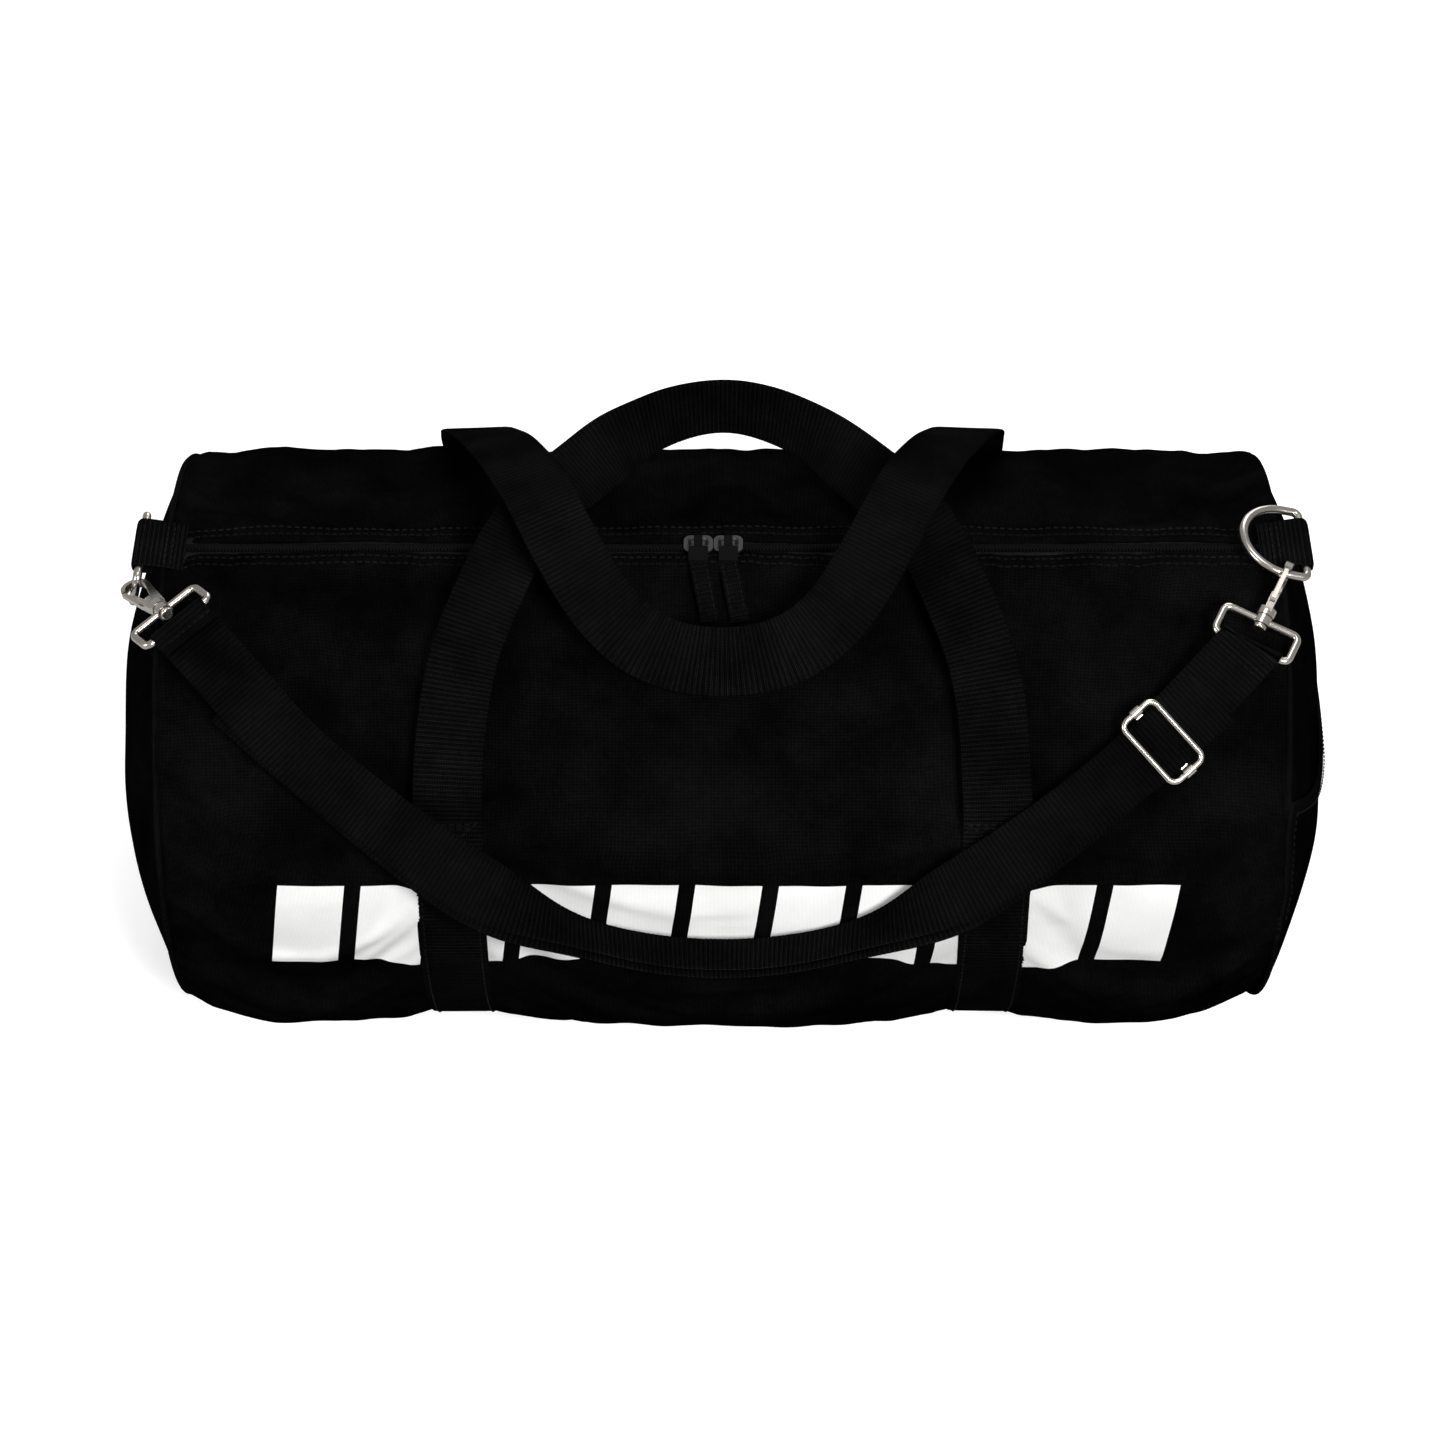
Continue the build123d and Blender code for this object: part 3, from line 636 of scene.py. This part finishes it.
# ---- ends ----
def ends():
    """Both domed end panels and their bindings; gives a search tree of the right panel."""
    for name, side in (("left", -1), ("right", 1)):
        verts, uvs = [], []
        for r in range(END_RINGS):
            out = (r / END_RINGS) ** 1.15
            for c in range(END_TURNS):
                turn = -pi + 2 * pi * c / END_TURNS
                p = end_point(side, out, turn)
                p.z = max(p.z, FLOOR)
                verts.append(p)
                uvs.append((p.y, p.z))
        faces = grid_faces(END_RINGS, END_TURNS, wrap=True)
        middle = len(verts)
        verts.append(end_point(side, 1.0, 0))
        uvs.append((0, AXIS_Z))
        last = (END_RINGS - 1) * END_TURNS
        faces += [(last + c, last + (c + 1) % END_TURNS, middle) for c in range(END_TURNS)]
        if side > 0:
            faces = [f[::-1] for f in faces]
        obj = new_mesh(f"end_cloth_{name}", verts, faces, uvs)
        finish_piece(obj, "black_canvas", "bag", "canvas", f"end_panel_{name}")
        binding(name, side)
    return BVHTree.FromPolygons(verts, faces)


def binding(name, side):
    """The piped binding between the body and an end panel, slightly uneven along its length."""
    points = []
    count = 420
    for i in range(count):
        turn = -pi + 2 * pi * i / count
        foot, normal = oval(turn, side * SEAM_X)
        lift = 0.0004 + 0.0004 * wave(turn * ROUND, side, 20, 0.018) - seam_sink(turn)
        p = foot + normal * lift
        p.x += side * 0.0006
        p.z = max(p.z, FLOOR + PIPING_R)
        points.append(p)
    obj = cord(f"piping_{name}", points, PIPING_R)
    finish_piece(obj, "black_binding", "bag", "binding", f"end_binding_{name}")


# ---- handles and wraps ----
def spline(points):
    """Points every 3 mm on a natural cubic curve, their places along it and those of the given ones."""
    knots = np.array([tuple(p) for p in points])
    chords = np.linalg.norm(np.diff(knots, axis=0), axis=1)
    t = np.concatenate([[0], np.cumsum(chords)])
    n = len(t)
    left, right = np.eye(n), np.zeros((n, 3))
    for i in range(1, n - 1):
        before, after = t[i] - t[i - 1], t[i + 1] - t[i]
        left[i, i - 1:i + 2] = before, 2 * (before + after), after
        right[i] = 6 * ((knots[i + 1] - knots[i]) / after - (knots[i] - knots[i - 1]) / before)
    bend = np.linalg.solve(left, right)
    marks = np.linspace(0, t[-1], int(t[-1] / 0.003) + 1)
    out = []
    for m in marks:
        i = min(int(np.searchsorted(t, m, "right")) - 1, n - 2)
        h = t[i + 1] - t[i]
        a, b = (t[i + 1] - m) / h, (m - t[i]) / h
        rise = ((a**3 - a) * bend[i] + (b**3 - b) * bend[i + 1]) * h * h / 6
        out.append(Vector(a * knots[i] + b * knots[i + 1] + rise))
    return out, marks, t


def arch(points, normals):
    """Stations of a handle's free part: the left leg up to the middle, mirrored to the right leg."""
    mirrored = [Vector((-p[0], p[1], p[2])) for p in reversed(points[:-1])]
    line, marks, knots = spline([Vector(p) for p in points] + mirrored)
    all_normals = [Vector(n) for n in normals] + [Vector(n) for n in reversed(normals[:-1])]
    stations = []
    for place, m in zip(line, marks):
        i = min(int(np.searchsorted(knots, m, "right")) - 1, len(knots) - 2)
        t = smooth((m - knots[i]) / (knots[i + 1] - knots[i]))
        stations.append((place, all_normals[i].lerp(all_normals[i + 1], t)))
    return stations


def clear_of_skin(stations, gap):
    """Move stations out until they stand a gap above the body cloth, where they lie within 2 cm of it."""
    out = []
    for place, normal in stations:
        spot, face_normal, _, _ = SKIN.find_nearest(place, 0.02)
        if spot is not None:
            height = (place - spot).dot(face_normal)
            if height < gap:
                place = place + face_normal * (gap - height)
        out.append((place, normal))
    return out


def wrap_leg(side, x, first, last):
    """Stations of the band that lies on the body at x, from one angle to another."""
    turns = spread(first, last, 110)
    return relax([laid(x, -side * turn, WEB / 2 + 0.0001) for turn in turns], 3)


def web_loop(side, points, normals):
    """One carry handle: webbing up from the base, over the body, round the handle and back down."""
    start, end = pi - 0.03, TACK + 0.05
    rise = wrap_leg(side, -WRAP_X, start, end)
    fall = wrap_leg(side, WRAP_X, end, start)
    return relax(rise + clear_of_skin(arch(points, normals), WEB / 2 + 0.0003) + fall, 4)


def above_axis(x, y, z):
    """A point given in millimetres, with its height measured from the middle of the oval."""
    return Vector((x / 1000, y / 1000, AXIS_Z + z / 1000))


def handles():
    """Both webbing loops, laid over the body and arched up into the handles, with their stitching."""
    foot, foot_normal = oval(TACK - 0.017, -WRAP_X, WEB / 2 + 0.0007)
    low, low_normal = oval(radians(46), -WRAP_X + 0.001, WEB / 2 + 0.002)
    front = [foot, low, above_axis(-117, -63, 126), above_axis(-106, -38, 140), above_axis(-91, -8, 150)]
    front += [above_axis(-66, 26, 150), above_axis(-34, 58, 150), above_axis(0, 70, 150)]
    front_normals = [foot_normal, low_normal, (0, -0.45, 0.9), (0, -0.45, 0.9), (-0.1, -0.55, 0.83)]
    front_normals += [(-0.2, -0.75, 0.6), (-0.1, -0.95, 0.2), (0, -1, 0.1)]
    foot, foot_normal = oval(-TACK + 0.017, -WRAP_X, WEB / 2 + 0.0007)
    low, low_normal = oval(radians(-44), -WRAP_X + 0.002, WEB / 2 + 0.003)
    back = [foot, low, above_axis(-115, 66, 137), above_axis(-101, 30, 160), above_axis(-84, -8, 168)]
    back += [above_axis(-66, -42, 156), above_axis(-40, -65, 134), above_axis(0, -74, 127)]
    back_normals = [foot_normal, low_normal, (0, 0.4, 0.9), (0, 0.1, 1), (0, -0.3, 0.95)]
    back_normals += [(0, -0.5, 0.85), (0, -0.6, 0.8), (0, -0.6, 0.8)]
    both = (
        ("front", -1, front, front_normals, ("handle_front", "strap_wrap_left", "strap_wrap_right")),
        ("back", 1, back, back_normals, ("handle_back",)),
    )
    for name, side, points, normals, nodes in both:
        obj = webbing(f"web_loop_{name}", web_loop(side, points, normals), WEB_WIDTH, WEB)
        finish_piece(obj, "black_webbing", None, "webbing", *nodes)
        band = BVHTree.FromPolygons(*finished(obj))
        up = oval(-side * (TACK - 0.12), 0)[0] - oval(-side * TACK, 0)[0]
        up = Vector((0, up.y, up.z)).normalized()
        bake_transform(obj)
        tacks(name, side, band)


def across(centre, half, turn, side, band):
    """A line of stitching straight across a band of webbing at centre."""
    return [laid(x, -side * turn, 0.0001, band) for x in spread(centre - half, centre + half, 25)]


def tacks(name, side, band):
    """The rows and cross of stitches that fasten a handle's webbing to the body, and its edge rows."""
    lines = []
    half = WEB_WIDTH / 2 - 0.0035
    top, low = TACK + 0.022, TACK + 0.19
    for centre in (-WRAP_X, WRAP_X):
        for turn in (top, top + 0.014, low, low + 0.014):
            lines.append(across(centre, half, turn, side, band))
        for way in (-1, 1):
            xs = spread(centre - way * half, centre + way * half, 25)
            cross = zip(xs, spread(top, low, 25))
            lines.append([laid(x, -side * turn, 0.0001, band) for x, turn in cross])
            edge = spread(low, GROUND_TURN - 0.20, 61)
            x = centre + way * (WEB_WIDTH / 2 - 0.0030)
            lines.append([laid(x, -side * turn, 0.0001, band) for turn in edge])
    stitches(f"tack_stitches_{name}", lines)


# ---- shoulder strap ----
def strap_turn(x):
    """0 where the strap lies flat, 1 where it stands on edge."""
    return 1 - smooth((abs(x) - 0.058) / 0.102)


def strap_station(x):
    """Centre and normal of the strap at x: flat on the shoulders and on edge along its bottom run."""
    turn = strap_turn(x)
    angle = STRAP_TOP + (STRAP_BOTTOM - STRAP_TOP) * cos(pi / 2 * x / STRAP_END_X)
    stand = turn * (STRAP_WIDTH / 2 - 0.0015) + 4 * turn * (1 - turn) * 0.0035
    foot, normal = oval(angle, x, STRAP_LIFT + stand)
    return foot, (normal * (1 - turn) + Vector((0, 0.41, 0.91)) * turn).normalized()


def loop_frame(name):
    """Origin of a hook's wire loop, the way to its ring and the way out of the webbing."""
    swivel = JOINTS[f"hook_{name}_swivel"]
    up = Vector(swivel["axis"]).normalized()
    face = Vector((0, -0.3 if name == "left" else -0.4, 1))
    out = (face - up * face.dot(up)).normalized()
    return Vector(swivel["pos_m"]), up, out


def bar_turn(name, radius, first, last):
    """Stations round a wire loop's far bar, from one angle to another; 0 faces out of the webbing."""
    origin, up, out = loop_frame(name)
    centre = origin + up * LOOP_BAR_Z
    stations = []
    for a in spread(first, last, 13):
        way = out * cos(a) + up * sin(a)
        stations.append((centre + way * radius, way))
    return stations


def strap_line(lift, shift, slack=0.0):
    """Stations of one layer from left to right: raised by lift, slid across by shift, with some slack."""
    stations = []
    end = STRAP_END_X - 0.013
    for x in spread(-end, end, 181):
        foot, normal = strap_station(x)
        run = (strap_station(x + 0.002)[0] - strap_station(x - 0.002)[0]).normalized()
        out = (normal - run * normal.dot(run)).normalized()
        turn = strap_turn(x)
        part = slack * (4 * turn * (1 - turn) + turn / 3)
        slide = shift * smooth((0.19 - abs(x)) / 0.05)
        stations.append((foot + out * (lift - STRAP_LIFT + part) + run.cross(out) * slide, out))
    return stations


def lift_blend(obj):
    """Bake a strap layer's placement into its points; it is not bent where the strap lifts."""
    joint = JOINTS["strap_lift"]
    axis = Vector(joint["axis"]).normalized()
    down = Vector((0, -0.75, -0.66))
    down = (down - axis * down.dot(axis)).normalized()
    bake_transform(obj)


def joined(first, second):
    """Two runs of stations with even steps of about 2.5 mm across the gap between them."""
    a, b = first[-1], second[0]
    count = int((b[0] - a[0]).length / 0.0025)
    between = [(a[0].lerp(b[0], i / count), a[1].lerp(b[1], i / count)) for i in range(1, count)]
    return first + between + second


def shoulder_strap():
    """Both layers of the strap with their folds round the wire loops."""
    radius = LOOP_WIRE + STRAP / 2 + 0.0001
    inner = strap_line(STRAP_LIFT, 0.0022)
    left_turn = bar_turn("left", radius, pi, 0.0)
    right_turn = bar_turn("right", radius, 0.0, pi)
    _, right_up, right_out = loop_frame("right")
    tail = [(right_turn[-1][0] - right_up * d, -right_out) for d in (0.003, 0.006)]
    path = [s for s in clear_of_skin(inner, STRAP / 2 + 0.0004) if s[0].x < STRAP_END_X - EASE]
    path = relax(joined(path, right_turn[:1]), 40)
    rows = rows_across(path[::-1])
    obj = webbing("shoulder_strap_web", path[:-1] + relax(right_turn + tail, 1), STRAP_WIDTH, STRAP)
    finish_piece(obj, "black_webbing", None, "webbing", "shoulder_strap")
    lift_blend(obj)
    outer = [s for s in strap_line(RETURN_LIFT, -0.0008, 0.0024) if s[0].x < 0.226]
    bent = []
    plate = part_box("adjuster_bar")
    hump_x = (plate[0].x + plate[1].x) / 2
    for place, normal in outer:
        bent.append((place + normal * float(0.0023 * bell(place.x - hump_x, 0.0038)), normal))
    _, left_up, left_out = loop_frame("left")
    hidden = [(left_turn[0][0] - left_up * d, -left_out) for d in (0.012, 0.008, 0.004)]
    eased = [s for s in bent if -STRAP_END_X + EASE < s[0].x < 0.150]
    eased = relax(joined(left_turn[-1:], eased), 40)
    rows += rows_across(eased)
    path = relax(hidden + left_turn, 1) + eased[1:] + [s for s in bent if s[0].x >= 0.150]
    obj = webbing("shoulder_strap_outer", path, STRAP_WIDTH - 0.0006, STRAP)
    finish_piece(obj, "black_webbing", None, "webbing", "strap_return")
    lift_blend(obj)
    stitches("strap_stitches", rows)


def sewn_row(middle, side, up):
    """A line of (point, normal) straight across a band, from one side of its middle to the other."""
    return [(middle + side * part, up) for part in spread(-1, 1, 17)]


def rows_across(path):
    """Two rows of stitches across the strap, at 7 and 10 mm from the path's first station."""
    rows = []
    for away in (0.007, 0.010):
        k = next(i for i, s in enumerate(path) if (s[0] - path[0][0]).length > away)
        run = (path[k][0] - path[k - 1][0]).normalized()
        side = run.cross(path[k][1]).normalized()
        middle = path[k][0] + path[k][1] * (STRAP / 2 + 0.0002)
        rows.append(sewn_row(middle, side * STRAP_WIDTH * SEW_WIDTH, path[k][1]))
    return rows


# ---- ring tabs ----
def ring_tabs():
    """Webbing tabs sewn down at the ends of the zip and folded round the D-rings' bars."""
    for name, side in (("left", -1), ("right", 1)):
        bar = Vector(JOINTS[f"ring_{name}_tilt"]["pos_m"])
        low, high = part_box(f"ring_tab_{name}")
        inner_x = low.x if side > 0 else high.x
        width = high.y - low.y
        radius = RING_WIRE + WEB / 2 + 0.0002
        stations = []
        for t in spread(0, 1, 9):
            x = inner_x + (bar.x - inner_x) * t
            z = bar.z + radius * t - 0.0009 * (1 - t)
            stations.append((Vector((x, bar.y, z)), UP))
        for i in range(1, 13):
            a = pi * i / 12
            way = Vector((side * sin(a), 0, cos(a)))
            stations.append((bar + way * radius, way))
        for d in (0.003, 0.006):
            stations.append((bar + Vector((-side * d, 0, -radius)), -UP))
        obj = webbing(f"ring_tab_web_{name}", relax(stations, 1), width, WEB)
        finish_piece(obj, "black_webbing", "bag", "webbing", f"ring_tab_{name}")
        lines = []
        for back in (0.0115, 0.0145):
            x = bar.x - side * back
            z = bar.z + radius + WEB / 2 - 0.0036 * back / 0.020
            lines.append(sewn_row(Vector((x, bar.y, z)), Vector((0, width * SEW_WIDTH, 0)), UP))
        stitches(f"tab_stitches_{name}", lines)


# ---- zip ----
def zip_parts():
    """Tapes under the lips, interlocked coil teeth and the rows of topstitching."""
    half = TAPE_FRONT[1].x
    for name, way in (("front", -1), ("back", 1)):
        verts = []
        for x in spread(-half, half, 261):
            sway = 0.00012 * wave(x, way, 30, 0.012)
            for j, out in enumerate(spread(TAPE_EDGE, TAPE_SHOWN, 9)):
                y = ZIP_Y + way * out
                ridge = 0.00018 * (j in (2, 3))
                dip = HALF_HEIGHT - HALF_HEIGHT * sqrt(1 - (y / HALF_DEPTH) ** 2)
                verts.append(Vector((x, y, TOP_Z - 0.0029 - dip + ridge + sway)))
        faces = grid_faces(261, 9)
        if way > 0:
            faces = [f[::-1] for f in faces]
        obj = new_mesh(f"zip_tape_{name}", verts, faces)
        thick = obj.modifiers.new("Solidify", "SOLIDIFY")
        thick.thickness = 0.0007
        finish_piece(obj, "black_zip_tape", "bag", "zip_tape", f"zipper_tape_{name}")
        teeth(name, way, half - 0.006, TOP_Z - 0.0026)
    topstitching()


def teeth(name, way, half, z):
    """One side of the coil: a row of small hooked teeth."""
    outline = [(-0.42, -0.5), (-0.20, -0.72), (0.20, -0.72), (0.42, -0.5)]
    outline += [(0.34, 0.5), (0.0, 0.72), (-0.34, 0.5)]
    verts, faces = [], []
    count = int(2 * half / TOOTH_PITCH)
    for i in range(count):
        x = -half + TOOTH_PITCH * (i + (0.5 if way > 0 else 0.0))
        base = len(verts)
        for y_part, size in ((-0.00045, 0.75), (0.0001, 1.0), (0.0012, 1.0), (0.0019, 0.7)):
            for px, pz in outline:
                y = ZIP_Y + way * y_part
                verts.append(Vector((x + px * size * TOOTH_PITCH, y, z + 0.0009 + pz * size * 0.0017)))
        tooth = ring_faces(base, 4, len(outline))
        faces += [f[::-1] for f in tooth] if way > 0 else tooth
    obj = new_mesh(f"zip_teeth_{name}", verts, faces)
    finish_piece(obj, "black_nylon", "bag", "black_plastic", f"zipper_coil_{name}")


def topstitching():
    """Two rows of stitches beside each lip of the zip."""
    lines = []
    marks = spread(-SEAM_X + 0.010, SEAM_X - 0.010, 401)
    for way in (-1, 1):
        for away in (0.0030, 0.0072):
            turn = -(ZIP_Y + way * (ZIP_SLOT / 2 + away)) / HALF_DEPTH
            lines.append([laid(x, turn, 0.0006) for x in marks])
    stitches("topstitches", lines)


def pulls():
    """The short tapes on the two sliders' pulls, sewn along their edges and tips."""
    lean, droop = radians(9.5), radians(12)
    for name in ("left", "right"):
        pivot = Vector(JOINTS[f"pull_{name}_swing"]["pos_m"])
        forward = Vector((0, -cos(droop), -sin(droop)))
        up = Vector((0, -sin(droop), cos(droop)))
        run = (forward * cos(lean) + Vector((sin(lean), 0, 0))).normalized()
        start = pivot + forward * 0.0122
        stations = []
        for t in spread(0, 1, 23):
            curl = 0.0007 * sin(t * pi) - 0.0010 * t**2
            stations.append((start + run * 0.0318 * t + up * curl, up))
        stations = clear_of_skin(stations, 0.0012)
        obj = webbing(f"pull_web_{name}", relax(stations, 3), 0.0086, 0.0013, 0.0011, 0.00012)
        finish_piece(obj, "black_webbing", f"pull_{name}", "zip_tape", f"pull_tape_{name}")
        side = run.cross(up)
        lines = []
        for edge in (-1, 1):
            spots = [s[0] + side * edge * 0.0031 + up * 0.0007 for s in stations[2:-2]]
            lines.append([(p, up) for p in spots])
        tip = stations[-3][0] + up * 0.0007
        lines.append([(tip + side * 0.0031 * (i / 4 - 1), up) for i in range(9)])
        stitches(f"pull_stitches_{name}", lines, body=f"pull_{name}", radius=0.00022)


# ---- end pocket ----
def on_end(y, z, lift):
    """A point lift above the right end's cloth, and its normal."""
    start = Vector((TIP_X + 0.03, y, z))
    spot, normal, _, _ = RIGHT_END.ray_cast(start, Vector((-1, 0, 0)), 0.2)
    if spot is None:
        spot, normal = Vector((SEAM_X + 0.004, y, z)), Vector((1, 0, 0))
    if normal.x < 0:
        normal = -normal
    return spot + normal * lift, normal


def pocket():
    """The patch pocket with a bound, curved mouth on the right end."""
    centre_y, centre_z, radius = 0.016, AXIS_Z + 0.210, 0.191  # of the dip in its mouth
    margin = 0.93  # of the end panel's oval that it covers
    columns, rows = 73, 41
    verts, rim = [], []
    limit = HALF_DEPTH * margin * 0.985
    for y in spread(-limit, limit, columns):
        drop = HALF_HEIGHT * margin * sqrt(max(0.0, 1 - (y / (HALF_DEPTH * margin)) ** 2))
        low = max(AXIS_Z - drop, 0.014)
        reach = radius**2 - (y - centre_y) ** 2
        high = min(centre_z - sqrt(max(reach, 0.0)), AXIS_Z + drop)
        high = max(high, low + 0.0005)
        for t in spread(0, 1, rows):
            z = low + (high - low) * t
            edge = min(t, 1 - (abs(y) / limit) ** 6) * 14
            sag = 0.0010 * wave(y, z, 40, 0.035) * min(1.0, edge)
            verts.append(on_end(y, z, 0.0013 * min(1.0, max(0.15, edge)) + sag * 0.6)[0])
        rim.append((y, high))
    faces = grid_faces(columns, rows)
    obj = new_mesh("pocket_cloth", verts, faces, [(v.y, v.z) for v in verts])
    thick = obj.modifiers.new("Solidify", "SOLIDIFY")
    thick.thickness = 0.0012
    thick.offset = 1.0
    finish_piece(obj, "black_canvas", "bag", "canvas", "end_pocket")
    line = [on_end(y, z, 0.0016) for y, z in rim]
    line = [(p + n * 0.0006, n) for p, n in line]
    obj = webbing("pocket_binding", line, 0.0075, 0.0022, 0.0012, 0.00008)
    finish_piece(obj, "black_binding", "bag", "binding", "end_pocket_binding")
    stitches("pocket_stitches", [[on_end(y, z - 0.0024, 0.0036) for y, z in rim]])


# ---- print ----
def printed_band():
    """Plain slanted white blocks printed along the lower front, sunk where the webbing covers them."""
    blocks = 11
    pitch = 2 * PRINT_X / blocks
    width = pitch * 0.80
    top, low = PRINT_TURNS
    verts, faces, uvs = [], [], []
    for b in range(blocks):
        middle = -PRINT_X + pitch * (b + 0.5)
        base = len(verts)
        for t in spread(0, 1, 61):
            turn = top + (low - top) * t
            for part in spread(-0.5, 0.5, 41):
                x = middle + width * part + 0.006 * (0.5 - t)
                from_wrap = abs(abs(x) - WRAP_X) - (WEB_WIDTH / 2 - 0.0012)
                under = 1 - smooth((from_wrap + 0.0015) / 0.0015)
                place, _ = laid(x, turn, 0.00026 - 0.0016 * under)
                verts.append(place)
                uvs.append((x, turn * ROUND))
        faces += [tuple(base + k for k in face) for face in grid_faces(61, 41)]
    obj = new_mesh("printed_blocks", verts, [f[::-1] for f in faces], uvs)
    finish_piece(obj, "white_print", "bag", "canvas")


# ---- kept CAD pieces ----
def dress_cad():
    """Finishes for the hard fittings, which keep their CAD shapes."""
    looks = {"base_board": "base_board_plastic"}
    looks |= dict.fromkeys(("zipper_end_stops", "adjuster_frame", "adjuster_bar"), "satin_nickel")
    for side in ("left", "right"):
        for part in ("d_ring", "hook_body", "hook_gate", "gate_pin", "swivel_rivet", "strap_loop"):
            looks[f"{part}_{side}"] = "satin_nickel"
        looks[f"gate_spring_{side}"] = "spring_steel"
        looks[f"slider_{side}"] = "black_enamel"
        looks[f"pull_block_{side}"] = "black_nylon"
    for node, look in looks.items():
        slots = frame["nodes"][node].data.materials
        for i in range(len(slots)):
            slots[i] = material(look)


# ---- scene ----
def by_ray(tree, camera, glossy, other):
    """A strength for rays from the camera, one for rays off a shiny surface, and one for the rest."""
    path = tree.nodes.new("ShaderNodeLightPath")
    value = None
    for ray, strength in (("Is Camera Ray", camera), ("Is Glossy Ray", glossy)):
        step = tree.nodes.new("ShaderNodeMath")
        step.operation = "MULTIPLY_ADD"
        step.inputs[1].default_value = strength - other
        step.inputs[2].default_value = other
        tree.links.new(path.outputs[ray], step.inputs[0])
        if value:
            tree.links.new(value, step.inputs[2])
        value = step.outputs["Value"]
    return value


def lights_and_camera():
    """Pale floor with a painted glow, soft lights, and the camera high in front of the bag."""
    scene = bpy.context.scene
    bpy.ops.mesh.primitive_plane_add(size=12)
    floor = bpy.context.object
    floor.name = "floor"
    tree, shader, make, link = node_material("pale_floor", 0.9)
    # the floor's colour is pale to the camera, greyer in reflections and dark to light bouncing off it
    tree.links.new(by_ray(tree, 0.80, 0.45, 0.10), shader.inputs["Base Color"])
    shader.inputs["Specular IOR Level"].default_value = 0.0
    shader.inputs["Emission Color"].default_value = (1, 1, 1, 1)
    place = make("TexCoord")
    reach = make("VectorMath", operation="LENGTH")
    link(place, "Object", reach, 0)
    # painted light: the floor glows, fully for the camera and a little in reflections, though it is no
    # lamp; the glow is dimmed near the bag, a painted soft grey pool round it
    glow_dimmed_near_bag = make("MapRange", From_Min=0.32, From_Max=0.85, To_Min=0.53, To_Max=1.0)
    link(reach, "Value", glow_dimmed_near_bag, "Value")
    painted_floor_glow = make("Math", operation="MULTIPLY")
    link(glow_dimmed_near_bag, "Result", painted_floor_glow, 0)
    tree.links.new(by_ray(tree, 1.0, 0.15, 0.0), painted_floor_glow.inputs[1])
    link(painted_floor_glow, "Value", shader, "Emission Strength")
    floor.data.materials.append(bpy.data.materials["pale_floor"])
    floor.location.z = -0.0004  # just under the webbing that the bag stands on
    world = bpy.data.worlds.new("studio")
    world.use_nodes = True
    sky = world.node_tree.nodes["Background"]
    sky.inputs["Color"].default_value = (1, 1, 1, 1)
    world.node_tree.links.new(by_ray(world.node_tree, 1.0, 0.42, 0.07), sky.inputs["Strength"])
    scene.world = world
    middle = Vector((0, 0, AXIS_Z))
    for spot, size, power in (
        ((0.55, -1.35, 1.45), 0.5, 34),
        ((-1.5, -0.7, 1.0), 0.6, 15),
        ((0.0, 0.2, 2.1), 0.9, 12),
        ((0.3, 1.5, 0.9), 0.9, 11),
    ):
        lamp = bpy.data.lights.new("softbox", "AREA")
        lamp.energy = power
        lamp.size = size
        holder = bpy.data.objects.new("softbox", lamp)
        holder.location = spot
        holder.rotation_euler = (middle - Vector(spot)).to_track_quat("-Z", "Y").to_euler()
        scene.collection.objects.link(holder)
    elevation, distance = radians(49), 1.68
    camera = bpy.data.cameras.new("camera")
    camera.sensor_width = 36
    camera.lens = 84
    eye = bpy.data.objects.new("camera", camera)
    eye.location = middle + Vector((0, -cos(elevation), sin(elevation))) * distance
    eye.rotation_euler = (middle - eye.location).to_track_quat("-Z", "Y").to_euler()
    scene.collection.objects.link(eye)
    scene.camera = eye
    scene.view_settings.view_transform = "Standard"


SKIN = body()
RIGHT_END = ends()
printed_band()
handles()
shoulder_strap()
ring_tabs()
zip_parts()
pulls()
pocket()
dress_cad()
lights_and_camera()
